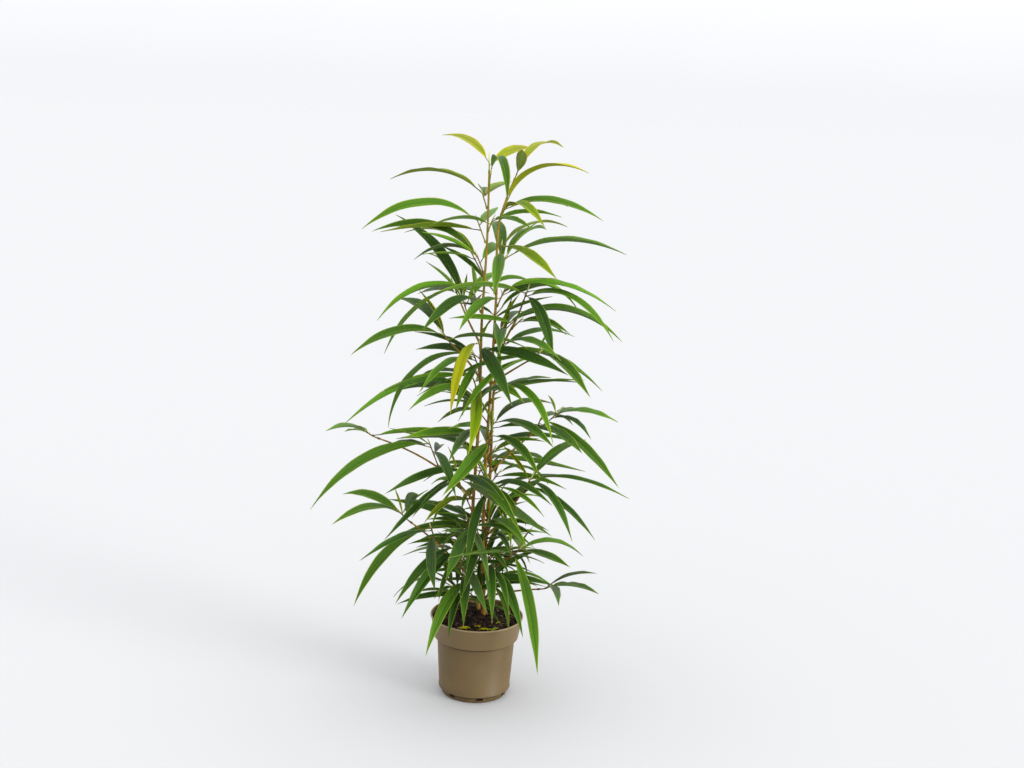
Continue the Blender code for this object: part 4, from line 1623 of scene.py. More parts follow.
@dataclass
class BarkedLimb:
    """A stem or bough with the bark's relief: leaf-scar rings, furrows and a collar at its root."""

    limb: Limb
    nodes: Sequence[Vector]
    rooted: bool
    seed: int
    sides: int
    spacing: float = 0.0012
    node_height: float = 0.20
    node_width: float = 0.0022
    scar_height: float = 0.09
    scar_width: float = 0.0010
    scar_steps: Pair = (0.013, 0.030)
    furrow: float = 0.05
    around: float = 2.2
    along: float = 100.0
    finer: float = 3.1
    grip: float = 0.004
    collar: float = 0.35
    collar_length: float = 0.005

    def line(self) -> tuple[list[Vector], list[float]]:
        """The limb's line and radii, with a bough's root sunk in its stem.

        Returns:
            Points about a millimetre apart, and the radius at each.
        """
        marks, sizes = self.limb.points, self.limb.radii
        if not self.rooted:
            marks, sizes = gripped(marks, sizes, self.grip)
        count = max(8, round(runs(marks)[-1] / self.spacing))
        return smooth_line(marks, count), [size_at(sizes, share) for share in even_shares(count)]

    def swelling(self, point: Vector, run: float, scars: Sequence[float]) -> float:
        """How much thicker the limb is at a place than its plain taper.

        Args:
            point: The place on its middle line.
            run: The length of limb before it.
            scars: The runs where old leaves left their rings.

        Returns:
            The radius there over the plain one.
        """
        nearest = min(((point - node).length for node in self.nodes), default=1.0)
        scar = min((abs(run - place) for place in scars), default=1.0)
        more = hump(self.node_height, self.node_width, nearest)
        more += hump(self.scar_height, self.scar_width, scar)
        if not self.rooted:
            more += hump(self.collar, self.collar_length, run)
        return 1 + more

    def build(self, bark: Material) -> Object:
        """Makes the limb.

        Args:
            bark: Its material.

        Returns:
            Its piece.
        """
        points, radii = self.line()
        chance = Random(self.seed)
        scars = [chance.uniform(*self.scar_steps)]
        while scars[-1] < 1.0:
            scars.append(scars[-1] + chance.uniform(*self.scar_steps))
        turns = [tau * k / self.sides for k in range(self.sides + 1)]
        shift = Vector((self.seed * 3.1, self.seed * 1.7, 0))
        rings, uvs = [], []
        for point, plain, run, (side, up) in zip(points, radii, runs(points), carried(points)):
            radius = plain * self.swelling(point, run, scars)
            ring = []
            for angle in turns[:-1]:
                out = side * cos(angle) + up * sin(angle)
                spot = Vector((out.x * self.around, out.y * self.around, run * self.along)) + shift
                relief = noise.noise(spot) + noise.noise(spot * self.finer) / 2
                ring.append(point + out * radius * (1 + self.furrow * relief))
            rings.append(ring)
            uvs.append([(a * radius, run) for a in turns])
        skin = Skin()
        skin.wrap(rings, uvs, lambda station, side: bark)
        return skin.piece(f"{self.limb.name}_bark")


# Foliage


@dataclass(frozen=True)
class BladeShape:
    """How a leaf's blade is shaped between its rims."""

    stations: int = 26
    width_share: float = 0.094
    foot_power: float = 0.75
    rim: float = 0.0012
    rim_most: float = 0.3
    rib: float = 0.0014
    rib_tip: float = 0.0005
    rib_most: float = 0.35
    steps: Pair = (0.34, 0.68)
    keel: float = 0.0007
    keel_thinning: float = 0.6
    groove: float = 0.00025
    thickness: float = 0.0004
    rim_thinning: float = 0.5
    crown: float = 0.06
    opening: float = 0.25
    tip_half: float = 0.0002
    drawn_tip: float = 0.40
    drawn_from: float = 0.72


@dataclass(frozen=True)
class Bearing:
    """One leaf's own bearing: how it folds, twists and ripples."""

    fold: float
    twist: float
    ripple: float
    waves: float
    phases: Pair


# How much leaves differ in their bearing and in where their colours change
FOLDS = (-12, 8)
TWISTS = (-22, 22)
RIPPLES = (0.02, 0.07)
WAVES = (2.2, 4.5)
END_SHIFTS = (-0.08, 0.08)
UNTWISTED_AT = 0.35
SMALL_LEAF = 0.14  # a shorter leaf has half the sections
FACING = 14.0  # how far blades turn their faces to the front
BROADER = 0.16  # how much broader leaves are above a height
BROADER_FROM = 0.40
BROADER_RUN = 0.20

STALK_STATIONS = 11
STALK_REACH = 1.35  # how far a stalk runs on under its blade, over its free length
STALK_RADIUS = 0.00095
STALK_SWELLING = 0.0004
STALK_SWELLING_SHARE = 0.16
STALK_THINNING = 0.65
STALK_THINNING_SHARE = 0.3  # how much of its length thins out, at its end
STALK_LEAST = 0.55  # a stalk's size by a leaf of no length
STALK_MORE = 0.45  # what a leaf of the usual length adds to it
STALK_SINK = 0.0009


@dataclass
class LeafMaker:
    """Makes fine leaves in a skin: blade, rim, midrib and petiole."""

    shape: BladeShape
    faces: dict[tuple[Tone, int, int], Material]
    backs: dict[Tone, Material]
    ribs: dict[Tone, Material]
    rims: dict[Tone, Material]
    faded: Material
    stalks: Sequence[Material]

    def section(self, half: float, t: float, rib: float, bearing: Bearing) -> tuple[list, list]:
        """One section across a blade.

        Args:
            half: The blade's half width there.
            t: Share of the blade's length.
            rib: Half the midrib's width there.
            bearing: The leaf's own bearing.

        Returns:
            Its upper and lower points, each as (across, up), from the right rim to the left.
        """
        shape = self.shape
        rim = min(shape.rim / half, shape.rim_most)
        inner = min(rib / half, shape.rib_most)
        steps = [inner + (1 - rim - inner) * share for share in shape.steps]
        places = [inner, *steps, 1 - rim, 1.0]
        fold = tan(radians(bearing.fold)) * (1 - shape.opening * t)

        def lift(v: float) -> float:
            phase = bearing.phases[v > 0]
            wave = sin(tau * bearing.waves * t + phase) * bearing.ripple * v * v
            own = abs(v)
            return half * (own * fold + shape.crown * sin(pi * own) + wave)

        upper_places = [-v for v in reversed(places)] + [0.0] + places
        upper = [(v * half, lift(v) - (shape.groove if v == 0 else 0.0)) for v in upper_places]
        lower_places = [-places[3], -places[1], -places[0], 0.0, places[0], places[1], places[3]]
        keel = shape.keel * (1 - shape.keel_thinning * t)
        lower = []
        for v in lower_places:
            depth = shape.thickness * (1 - shape.rim_thinning * v * v) + (keel if v == 0 else 0.0)
            lower.append((v * half, lift(v) - depth))
        return upper, lower

    def leaf(self, skin: Skin, leaf: Leaf, tone: Tone, chance: Random) -> None:
        """Adds one leaf's blade to a skin.

        Args:
            skin: The skin.
            leaf: The leaf.
            tone: Its colours.
            chance: Where its bearing comes from.
        """
        shape = self.shape
        bearing = Bearing(
            FOLD + leaf.cupped + chance.uniform(*FOLDS),
            chance.uniform(*TWISTS),
            chance.uniform(*RIPPLES),
            chance.uniform(*WAVES),
            (chance.uniform(0, tau), chance.uniform(0, tau)),
        )
        shade = chance.randrange(2)
        ends = [share + chance.uniform(*END_SHIFTS) for share in ZONE_ENDS]
        broad = 1 + BROADER * min(1.0, max(0.0, (leaf.root.z - BROADER_FROM) / BROADER_RUN))
        widest = leaf.length * leaf.slim * broad * shape.width_share / 2
        count = shape.stations if leaf.length > SMALL_LEAF else shape.stations // 2
        stations = [0.5 * share + 0.25 * (1 - cos(pi * share)) for share in even_shares(count)]
        shares = [PETIOLE_SHARE + (1 - PETIOLE_SHARE) * t for t in stations]
        line = arch(leaf.root, leaf.azimuth, leaf.rise, leaf.fall, leaf.length, shares, leaf.sweep)
        rings, uvs = [], []
        roll = leaf.roll + FACING * cos(radians(leaf.azimuth))
        for (point, tangent), t in zip(line, stations):
            side, up = across(tangent, leaf.azimuth, roll + bearing.twist * (t - UNTWISTED_AT))
            half = half_width(t, widest, shape.foot_power)
            drawn = max(0.0, (t - shape.drawn_from) / (1 - shape.drawn_from))
            half = half * (1 - shape.drawn_tip * drawn) + shape.tip_half
            half = max(half, PETIOLE_RADIUS * 0.7 * (1 - t))
            rib = (shape.rib + (shape.rib_tip - shape.rib) * t) / 2
            upper, lower = self.section(half, t, rib, bearing)
            ring = lower + list(reversed(upper))
            rings.append([point + side * x + up * z for x, z in ring])
            run = t * leaf.length
            uvs.append([(x, run) for x, _ in ring] + [(ring[0][0], run)])
        low = len(lower)

        def dress(station: int, side: int) -> Material:
            t = stations[station]
            if t > FADED_TIP:
                return self.faded
            if side < low - 1:
                return self.ribs[tone] if side in (2, 3) else self.backs[tone]
            strip = side - low
            if strip in (4, 5):
                return self.ribs[tone]
            # Rims: their pale colour is partly the margin's own and partly a painted highlight.
            if strip in (-1, 0, 9, 10):
                return self.rims[tone]
            zone = sum(t + STAGGER * (strip % 3 - 1) > end for end in ends)
            return self.faces[tone, shade, zone]

        skin.wrap(rings, uvs, dress)

    def petiole(self, skin: Skin, leaf: Leaf, tone: Tone, chance: Random) -> None:
        """Adds a leaf's stalk, swollen where it leaves its twig and sunk under the blade's foot.

        Args:
            skin: The skin.
            leaf: The leaf.
            tone: Its colours.
            chance: Where the stalk's own colour comes from.
        """
        stalk = self.stalks[0] if tone in (Tone.YOUNG, Tone.YELLOW) else chance.choice(self.stalks)
        steps = even_shares(STALK_STATIONS)
        shares = [PETIOLE_SHARE * STALK_REACH * step for step in steps]
        line = arch(leaf.root, leaf.azimuth, leaf.rise, leaf.fall, leaf.length, shares, leaf.sweep)
        size = min(1.0, STALK_LEAST + leaf.length / LEAF_LENGTH * STALK_MORE)
        thins_from = 1 - STALK_THINNING_SHARE
        points, radii = [], []
        for (point, tangent), step in zip(line, steps):
            _, up = across(tangent, leaf.azimuth, leaf.roll)
            points.append(point - up * STALK_SINK * step**2)
            swollen = hump(STALK_SWELLING, STALK_SWELLING_SHARE, step)
            thinned = 1 - STALK_THINNING * max(0.0, (step - thins_from) / STALK_THINNING_SHARE)
            radii.append(size * (STALK_RADIUS + swollen) * thinned)
        skin.tube(points, radii, 8, stalk)


@dataclass(frozen=True)
class Growth:
    """A shoot as it has grown: its twig and its leaves, the leading one first."""

    twig: Twig
    leaves: tuple[Leaf, ...]


# Low in the crown the dark tones prevail, partly for the older leaves' own colour and partly as painted
# shade under the crown.
TONES_BY_HEIGHT = (
    (0.93, {Tone.YOUNG: 60, Tone.OLIVE: 40}),
    (0.80, {Tone.OLIVE: 46, Tone.FRESH: 32, Tone.GRASS: 22}),
    (0.55, {Tone.GRASS: 40, Tone.DEEP: 35, Tone.FRESH: 15, Tone.OLIVE: 10}),
    (0.29, {Tone.DEEP: 38, Tone.GRASS: 38, Tone.SHADED: 12, Tone.FRESH: 12}),
    (-1.0, {Tone.DEEP: 72, Tone.GRASS: 12, Tone.SHADED: 15, Tone.FRESH: 1}),
)  # the tones above each height, and how common each is


def drawn_tone(tones: Mapping[Tone, int], chance: Random) -> Tone:
    """A tone by chance, weighed by how common each is."""
    return chance.choices(list(tones), list(tones.values()))[0]


def tone_of(leaf: Leaf, chance: Random) -> Tone:
    """A leaf's tone: its own, or one by chance for its height in the crown."""
    if leaf.tone:
        return leaf.tone
    return drawn_tone(next(tones for lowest, tones in TONES_BY_HEIGHT if leaf.root.z >= lowest), chance)


def plain_tube(points: Sequence[Vector], radii: Sequence[float]) -> tuple[Ring, list[Face]]:
    """A closed tube of four sides, for finding room.

    Args:
        points: Its middle line.
        radii: Its radius at each point.

    Returns:
        Its points and faces.
    """
    rings = [
        [point + way * radius for way in (side, up, -side, -up)]
        for point, radius, (side, up) in zip(points, radii, carried(points))
    ]
    ends = [(3, 2, 1, 0), tuple(range(len(rings) * 4 - 4, len(rings) * 4))]
    walls = [
        (4 * i + k, 4 * i + (k + 1) % 4, 4 * i + 4 + (k + 1) % 4, 4 * i + 4 + k)
        for i in range(len(rings) - 1)
        for k in range(4)
    ]
    return [point for ring in rings for point in ring], ends + walls


def grow_shoots(limbs: Mapping[str, Limb]) -> tuple[list[Growth], Thicket]:
    """Grows every shoot by the solids' rule: all the leading leaves first, then the others.

    Args:
        limbs: The stems and boughs by name.

    Returns:
        The shoots as they've grown, and what has been placed.
    """
    thicket = Thicket()
    for name in ("nursery_pot", "potting_soil", *limbs):
        mesh = frame["nodes"][name].data
        points = [vertex.co.copy() for vertex in mesh.vertices]
        thicket.add_solid(name, points, [tuple(face.vertices) for face in mesh.polygons])
    growing = []
    for name, shoot in zip(shoot_names(), SHOOTS):
        twig = Twig(name, shoot, limbs[shoot.limb])
        thicket.add_solid(name, *plain_tube(twig.points, twig.radii))
        growing.append((twig, Random(f"{name} {shoot.seed}"), Random(name), []))
    for twig, chance, nudges, leaves in growing:
        leaves.append(thicket.placed(twig.name, leading_leaf(twig, chance), nudges))
    for twig, chance, nudges, leaves in growing:
        for index in range(len(twig.shoot.turns)):
            leaves.append(thicket.placed(twig.name, side_leaf(twig, index, chance), nudges))
    return [Growth(twig, tuple(filter(None, leaves))) for twig, _, _, leaves in growing], thicket


def in_box(leaf: Leaf) -> bool:
    """Whether a leaf stays inside the sides and the top of the solids' own box."""
    low, high = CAD_BOX
    points = [point for ring in leaf_rings(leaf) for point in ring]
    inside = all(
        low[axis] + BOX_MARGIN < point[axis] < high[axis] - BOX_MARGIN for point in points for axis in (0, 1)
    )
    return inside and max(point.z for point in points) < high[2] - BOX_MARGIN


@dataclass(frozen=True)
class SprigZone:
    """A height of the crown where short side twigs with small leaves stand between the shoots."""

    lowest: float
    highest: float
    steps: Pair
    leaves: tuple[int, int]
    reaches: Pair
    falls: Pair
    tones: Mapping[Tone, int]


# Dark tones for the lowest sprigs, partly their own colour and partly painted shade over the pot.
LOW_TONES = {Tone.DEEP: 64, Tone.SHADED: 16, Tone.GRASS: 16, Tone.FRESH: 4}
HIGH_TONES = {Tone.DEEP: 28, Tone.SHADED: 8, Tone.GRASS: 36, Tone.FRESH: 22, Tone.OLIVE: 6}
SPRIG_ZONES = (
    SprigZone(0.166, 0.320, (0.007, 0.013), (4, 6), (0.065, 0.130), (35, 110), LOW_TONES),
    SprigZone(0.300, 0.420, (0.022, 0.040), (2, 4), (0.085, 0.145), (20, 80), HIGH_TONES),
    SprigZone(0.420, 0.900, (0.060, 0.110), (2, 3), (0.090, 0.150), (20, 75), HIGH_TONES),
)
SPRIG_BELOW_TIP = 0.02
SPRIG_TURN = 137.5
SPRIG_TURN_SPREAD = 15
SPRIG_TWIGS = (0.018, 0.052)
SPRIG_TWIG_RISES = (28, 64)
SPRIG_RISES = (-5, 45)
SPRIG_TURNS = (45, 115)
SPRIG_SLIM = 1.1


def sprig_shoots(stem: Stem, zone: SprigZone) -> list[Shoot]:
    """The sprigs of one zone of a stem, each turned on from the one below it.

    Args:
        stem: The stem.
        zone: The zone.

    Returns:
        The sprigs as shoots.
    """
    chance = Random(f"sprigs {stem.name} {zone.lowest}")
    height = zone.lowest + chance.uniform(0, zone.steps[0])
    azimuth = chance.uniform(0, 360)
    shoots = []
    while height < min(zone.highest, stem.route[-1][2] - SPRIG_BELOW_TIP):
        reach = chance.uniform(*zone.reaches)
        side = chance.choice((-1, 1))
        turns = []
        for _ in range(chance.randint(*zone.leaves) - 1):
            turns.append(side * chance.uniform(*SPRIG_TURNS))
            side = -side
        rise, fall = chance.uniform(*SPRIG_RISES), chance.uniform(*zone.falls)
        twig, twig_rise = chance.uniform(*SPRIG_TWIGS), chance.uniform(*SPRIG_TWIG_RISES)
        sizes = (height, azimuth, rise, fall, tuple(turns), reach, twig, len(shoots))
        shoots.append(Shoot(stem.name, *sizes, twig_rise=twig_rise, scale=reach / LEAF_LENGTH))
        azimuth += SPRIG_TURN + chance.uniform(-SPRIG_TURN_SPREAD, SPRIG_TURN_SPREAD)
        height += chance.uniform(*zone.steps)
    return shoots


def grow_sprigs(limbs: Mapping[str, Limb], thicket: Thicket) -> list[Growth]:
    """Grows the sprigs where there is room between the shoots.

    Args:
        limbs: The stems and boughs by name.
        thicket: What has been placed.

    Returns:
        The sprigs as they've grown.
    """
    grown = []
    for stem in STEMS:
        shoots = [(shoot, zone) for zone in SPRIG_ZONES for shoot in sprig_shoots(stem, zone)]
        for number, (shoot, zone) in enumerate(shoots):
            twig = Twig(f"sprig_{stem.name}_{number:02d}", shoot, limbs[stem.name])
            tube = plain_tube(twig.points, twig.radii)
            if not thicket.has_way(*tube):
                continue
            thicket.add_solid(twig.name, *tube)
            chance = Random(twig.name)
            wanted = [leading_leaf(twig, chance)]
            wanted += [side_leaf(twig, index, chance) for index in range(len(shoot.turns))]
            leaves = []
            for leaf in wanted:
                leaf = replace(leaf, tone=drawn_tone(zone.tones, chance), slim=SPRIG_SLIM)
                placed = thicket.placed(twig.name, leaf, chance)
                if placed and in_box(placed):
                    leaves.append(placed)
            if leaves:
                grown.append(Growth(twig, tuple(leaves)))
    return grown


YOUNG_COUNTS = (0, 1, 1, 2)
YOUNG_HIGHEST = 0.90
YOUNG_PLACES = (0.9, 1.0)
YOUNG_LENGTHS = (0.050, 0.115)
YOUNG_RISES = (48, 76)
YOUNG_FALLS = (5, 40)
YOUNG_SLIM = 0.75
YOUNG_CUPPED = 18.0
YOUNG_TONES_BELOW = 0.85  # above this height a young leaf is always as pale as its shoot


def extra_leaves(growths: Sequence[Growth], thicket: Thicket) -> list[Growth]:
    """Adds each twig's young leaves, upright beside its bud, where they have room.

    Args:
        growths: The shoots.
        thicket: What has been placed.

    Returns:
        The shoots with their young leaves.
    """
    fuller = []
    for growth in growths:
        twig = growth.twig
        height = twig.node(1).z
        chance = Random(f"young {twig.name}")
        young = []
        for _ in range(chance.choice(YOUNG_COUNTS) if height < YOUNG_HIGHEST else 0):
            length = chance.uniform(*YOUNG_LENGTHS)
            leaf = Leaf(
                twig.node(chance.uniform(*YOUNG_PLACES)),
                chance.uniform(0, 360),
                chance.uniform(*YOUNG_RISES),
                chance.uniform(*YOUNG_FALLS),
                length,
                chance.uniform(-SIDE_ROLL, SIDE_ROLL),
                chance.uniform(-SIDE_SWEEP, SIDE_SWEEP),
                chance.choice((Tone.FRESH, Tone.OLIVE)) if height < YOUNG_TONES_BELOW else Tone.YOUNG,
                YOUNG_SLIM,
                YOUNG_CUPPED,
            )
            placed = thicket.placed(twig.name, leaf, chance)
            if placed and in_box(placed):
                young.append(placed)
        fuller.append(Growth(twig, growth.leaves + tuple(young)))
    return fuller


@dataclass
class Foliage:
    """The twigs, buds, petioles and leaves of one stem and its boughs."""

    name: str
    maker: LeafMaker
    twig_barks: Sequence[tuple[float, Material]]
    bud: Material
    stipule: Material
    grip: float = 0.003
    collar: float = 0.6
    collar_length: float = 0.0022
    node_height: float = 0.28
    node_width: float = 0.0016
    twig_steps: int = 26
    twig_sides: int = 9
    bud_steps: int = 9
    bud_radius: float = 0.00105
    bud_tip: float = 0.0002
    bud_taper: float = 0.8
    bud_belly: float = 0.9
    bud_lean: float = 0.0012
    side_bud_chance: float = 0.7
    side_bud_rise: float = 62.0
    side_bud_gap: float = 0.0008
    side_bud_middle: float = 0.0016
    side_bud_length: float = 0.0034
    side_bud_radii: Triple = (0.0007, 0.0008, 0.0002)
    stipule_chance: float = 0.3
    stipule_rise: float = 55.0
    stipule_lengths: Pair = (0.006, 0.012)
    stipule_radii: Triple = (0.0007, 0.0005, 0.0001)

    def twig(self, skin: Skin, growth: Growth) -> None:
        """Adds a twig with a collar at its root and a swelling under each leaf.

        Args:
            skin: The skin.
            growth: The shoot.
        """
        marks, sizes = gripped(growth.twig.points[:-1], growth.twig.radii[:-1], self.grip)
        points = smooth_line(marks, self.twig_steps)
        radii = []
        for point, run, share in zip(points, runs(points), even_shares(self.twig_steps)):
            near = min((point - leaf.root).length for leaf in growth.leaves)
            more = hump(self.node_height, self.node_width, near)
            more += hump(self.collar, self.collar_length, max(0.0, run - self.grip))
            radii.append(size_at(sizes, share) * (1 + more))
        bark = next(bark for lowest, bark in self.twig_barks if points[0].z >= lowest)
        skin.tube(points, radii, self.twig_sides, bark)

    def buds(self, skin: Skin, growth: Growth, chance: Random) -> None:
        """Adds the spike at a twig's end, and a small bud and stipule by some of its leaves.

        Args:
            skin: The skin.
            growth: The shoot.
            chance: Where their sizes come from.
        """
        root, tip = growth.twig.points[-2:]
        lean = heading(chance.uniform(0, 360), 0) * self.bud_lean
        steps = even_shares(self.bud_steps)
        points = [root.lerp(tip, share) + lean * share * share for share in steps]
        girths = [(1 - share) ** self.bud_taper * (1 + self.bud_belly * share) for share in steps]
        radii = [self.bud_tip + self.bud_radius * girth for girth in girths]
        skin.tube(points, radii, 8, self.bud)
        for leaf in growth.leaves:
            out = heading(leaf.azimuth, self.side_bud_rise)
            if chance.random() < self.side_bud_chance:
                foot = leaf.root + out * self.side_bud_gap
                small = [foot, foot + out * self.side_bud_middle, foot + out * self.side_bud_length]
                skin.tube(small, self.side_bud_radii, 6, self.bud)
            if chance.random() < self.stipule_chance:
                side = heading(leaf.azimuth + chance.choice((70, -70, 180)), self.stipule_rise)
                length = chance.uniform(*self.stipule_lengths)
                sliver = [leaf.root, leaf.root + side * length / 2, leaf.root + side * length]
                skin.tube(sliver, self.stipule_radii, 4, self.stipule)

    def build(self, growths: Sequence[Growth]) -> list[Object]:
        """Makes the leaves' piece and the shoots' piece.

        Args:
            growths: The shoots of this stem and its boughs.

        Returns:
            The two pieces.
        """
        leaves, shoots = Skin(), Skin()
        for growth in growths:
            chance = Random(f"looks {growth.twig.name}")
            self.twig(shoots, growth)
            self.buds(shoots, growth, chance)
            for leaf in growth.leaves:
                tone = tone_of(leaf, chance)
                self.maker.leaf(leaves, leaf, tone, chance)
                self.maker.petiole(shoots, leaf, tone, chance)
        return [leaves.piece(f"leaves_{self.name}"), shoots.piece(f"shoots_{self.name}")]


def leaf_maker() -> LeafMaker:
    """The leaf maker, with a material for every tone, shade and zone of a leaf."""
    faces, backs, ribs, rims = {}, {}, {}, {}
    for tone, colours in LEAF_COLOURS.items():
        name = f"leaf_{tone.value}"
        for shade, darker in enumerate(SHADES):
            for zone, share in enumerate((0.0, 0.5, 1.0)):
                colour = between(between(colours.face, colours.end, share), SHADE_COLOUR, darker)
                wax = OLDER_WAX * (1 - share) if tone in OLDER_TONES else 0.0
                face = WaxedLeaf(f"{name}_{'ab'[shade]}{zone}", colour, wax=wax)
                faces[tone, shade, zone] = face.material()
        backs[tone] = WaxedLeaf(f"{name}_back", colours.back, 0.6, sheen=0.12).material()
        ribs[tone] = WaxedLeaf(f"{name}_rib", between(colours.face, colours.trim, 0.5), 0.5).material()
        # The rim is partly the margin's own pale colour and partly a painted highlight.
        rims[tone] = WaxedLeaf(f"{name}_rim", between(colours.face, colours.trim, 0.8), 0.5).material()
    faded = WaxedLeaf("leaf_faded_tip", FADED_COLOUR, 0.7).material()
    stalks = [GreenBark(f"petiole_skin_{name}", colour).material() for name, colour in STALK_SKINS]
    return LeafMaker(BladeShape(), faces, backs, ribs, rims, faded, stalks)


# The studio


@dataclass
class Studio:
    """A plain pale floor, soft daylight and the camera."""

    floor_radius: float = 40.0
    floor_colour: str = "#b2b2b2"
    world_colour: str = "#fbfcff"
    horizon: float = 0.95
    zenith: float = 2.40
    key_side: Triple = (3.1, -1.7, 1.0)
    key_strength: float = 2.5
    key_angle: float = 25.0
    eye: Triple = (0.047, -2.465, 1.134)
    pitch: float = 12.35
    tilt: float = 2.4855
    lens: float = 49.22

    def floor(self) -> Object:
        """The level floor under the pot, wide enough to reach the horizon."""
        mesh = bpy.data.meshes.new("studio_floor")
        corners = [heading(a, 0) * self.floor_radius for a in range(0, 360, 5)]
        mesh.from_pydata(corners, [], [tuple(range(len(corners)))])
        surface = {"roughness": 0.9, "specular_ior_level": 0.0}
        look = Dressing("pale_floor", base_color=linear(self.floor_colour), **surface)
        mesh.materials.append(look.material)
        return linked("studio_floor", mesh)

    def light(self) -> None:
        """One broad, even light from the right, like a bright overcast sky on that side."""
        lamp = bpy.data.lights.new("key", "SUN")
        lamp.energy = self.key_strength
        lamp.angle = radians(self.key_angle)
        item = linked("key", lamp)
        item.rotation_euler = (-Vector(self.key_side)).to_track_quat("-Z", "Y").to_euler()

    def camera(self) -> None:
        """The camera, a little above the crown's middle, pitched down and slightly tilted."""
        lens = bpy.data.cameras.new("camera")
        lens.lens = self.lens
        lens.sensor_width = 36.0
        lens.clip_end = 200.0
        item = linked("camera", lens)
        turn = Matrix.Rotation(radians(90 - self.pitch), 4, "X")
        roll = Matrix.Rotation(radians(self.tilt), 4, "Z")
        item.matrix_world = Matrix.Translation(self.eye) @ turn @ roll
        bpy.context.scene.camera = item

    def world(self) -> None:
        """Pale light from all round."""
        world = bpy.data.worlds.new("studio")
        world.use_nodes = True
        tree = world.node_tree
        background = tree.nodes["Background"]
        background.inputs["Color"].default_value = linear(self.world_colour)
        sky = add(tree, "ShaderNodeTexCoord").outputs["Generated"]
        rise = add(tree, "ShaderNodeSeparateXYZ", {0: sky}).outputs[2]
        inputs = {"Value": rise, "To Min": self.horizon, "To Max": self.zenith}
        strength = add(tree, "ShaderNodeMapRange", inputs).outputs[0]
        tree.links.new(strength, background.inputs["Strength"])
        bpy.context.scene.world = world

    def build(self) -> None:
        """Sets up the floor, the lights, the world and the camera."""
        bpy.context.scene.view_settings.view_transform = "Standard"
        self.floor()
        self.light()
        self.camera()
        self.world()


def declare(piece: Object, slot: str, *nodes: str) -> None:
    """Hands a finished piece to the frame.

    Args:
        piece: The piece.
        slot: Not used.
        *nodes: The solids that it stands in for.
    """
    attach(piece, BODY)
    if nodes:
        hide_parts(*nodes)
    LOG.info("%s: %d faces for %d solids", piece.name, len(piece.data.polygons), len(nodes))


def build_pot() -> None:
    """Builds the pot with its lugs."""
    pot = NurseryPot()
    shell = pot.build()
    declare(shell, "pot_plastic", "nursery_pot")
    declare(pot.details(shell.data.materials[0]), "pot_plastic", "nursery_pot")


# Where each fallen scrap lies, as radius and azimuth, and its length
SCRAPS = (
    (0.064, 247, 0.016), (0.066, 258, 0.020), (0.070, 287, 0.014), (0.069, 293, 0.022),
    (0.058, 280, 0.018), (0.067, 309, 0.026), (0.060, 205, 0.018), (0.052, 330, 0.015),
    (0.066, 20, 0.020), (0.062, 95, 0.024), (0.068, 150, 0.017),
)
SCRAP_LIFT = 0.0022
SCRAP_SLIM = 2.4
SCRAP_TURNS = (80, 140)  # from straight out to along the rim and a little back
SCRAP_RISES = (4, 14)
SCRAP_FALL = 20
SCRAP_ROLL = 12
SCRAP_SWEEP = 40


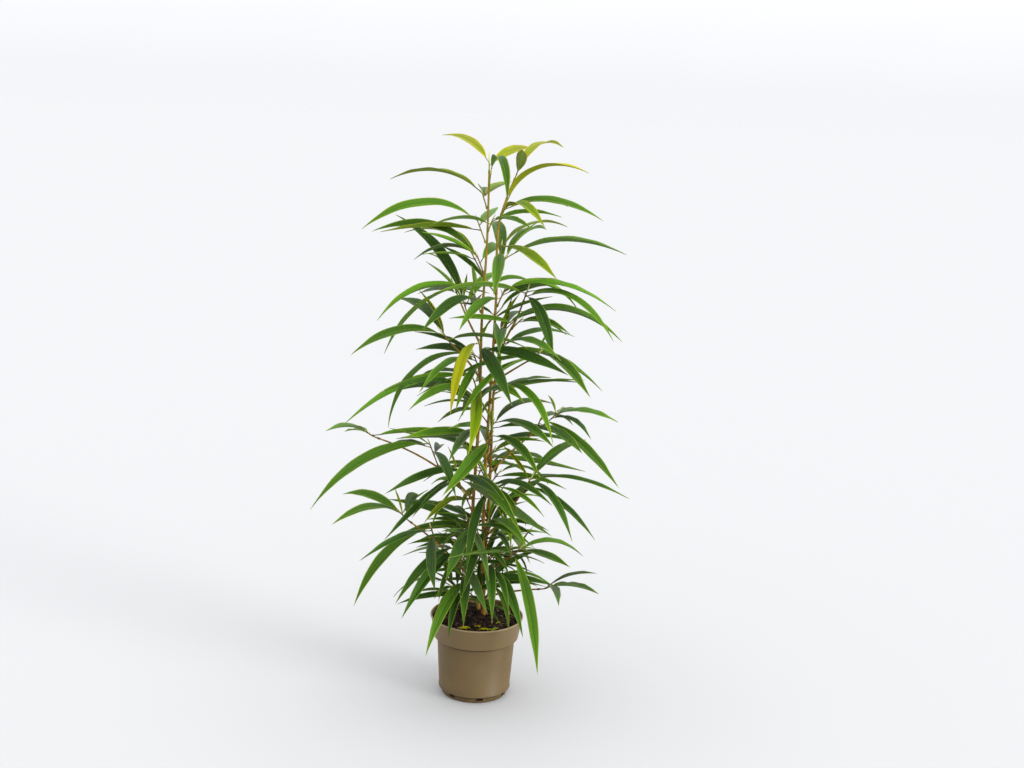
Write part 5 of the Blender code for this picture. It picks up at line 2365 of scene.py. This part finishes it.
def build_soil(tree: NodeTree, maker: LeafMaker) -> None:
    """Builds the soil, its litter and the leaf scraps that have fallen on it.

    Args:
        tree: The nodes that strew grains.
        maker: Makes the scraps.
    """
    soil = PottingSoil()
    scraps = Skin()
    chance = Random("scraps")
    for radius, around, length in SCRAPS:
        root = heading(around, 0) * radius
        root.z = soil.surface(radius, radians(around)) + SCRAP_LIFT
        turn = around + chance.choice((-1, 1)) * chance.uniform(*SCRAP_TURNS)
        lie = chance.uniform(-SCRAP_ROLL, SCRAP_ROLL), chance.uniform(-SCRAP_SWEEP, SCRAP_SWEEP)
        rise = chance.uniform(*SCRAP_RISES)
        scrap = Leaf(root, turn, rise, SCRAP_FALL, length, *lie, slim=SCRAP_SLIM)
        maker.leaf(scraps, scrap, chance.choice((Tone.YELLOW, Tone.OLIVE, Tone.YOUNG)), chance)
    declare(scraps.piece("fallen_leaf_scraps"), "foliage")
    heap = soil.build(DampPeat().material())
    declare(heap, "soil", "potting_soil")
    for kind in soil.litter(heap, tree):
        declare(kind, "soil", "potting_soil")


def build_limbs(limbs: Mapping[str, Limb], twigs: Sequence[Twig]) -> None:
    """Builds the stems and boughs with their bark.

    Args:
        limbs: The plain limbs.
        twigs: The twigs that leave them.
    """
    bark = SmoothBark().material()
    for number, (name, limb) in enumerate(limbs.items()):
        nodes = [twig.points[0] for twig in twigs if twig.shoot.limb == name]
        nodes += [limbs[bough.name].points[0] for bough in BOUGHS if bough.stem == name]
        rooted = name.startswith("stem")
        sides = STEM_SIDES if rooted else BOUGH_SIDES
        barked = BarkedLimb(limb, nodes, rooted, number + 1, sides)
        declare(barked.build(bark), "bark", name)


def build_foliage(growths: Sequence[Growth], maker: LeafMaker) -> None:
    """Builds the twigs and leaves of each stem and its boughs.

    Args:
        growths: The shoots.
        maker: Makes their leaves.
    """
    twig_barks = [
        (lowest, GreenBark(f"twig_skin_{name}", colour).material()) for lowest, name, colour in TWIG_SKINS
    ]
    bud = GreenBark("bud_scales", "#b9b877").material()
    stipule = GreenBark("dry_stipules", "#b08d5a").material()
    for stem in STEMS:
        limbs = {stem.name} | {bough.name for bough in BOUGHS if bough.stem == stem.name}
        own = [growth for growth in growths if growth.twig.shoot.limb in limbs]
        foliage = Foliage(stem.name, maker, twig_barks, bud, stipule)
        masses = [growth.twig.name for growth in own if growth.twig.name in frame["nodes"]]
        for piece in foliage.build(own):
            declare(piece, "foliage", *masses)


def main() -> None:
    """Builds the plant, its pot and the studio."""
    logging.basicConfig(level=logging.INFO, format="%(message)s")
    tree = scatter_tree()
    maker = leaf_maker()
    build_pot()
    build_soil(tree, maker)
    limbs = grow_limbs()
    growths, thicket = grow_shoots(limbs)
    growths = extra_leaves(growths, thicket) + grow_sprigs(limbs, thicket)
    LOG.info("%d leaves on %d twigs", sum(len(g.leaves) for g in growths), len(growths))
    build_limbs(limbs, [growth.twig for growth in growths])
    build_foliage(growths, maker)
    Studio().build()


if __name__ == "__main__":
    main()
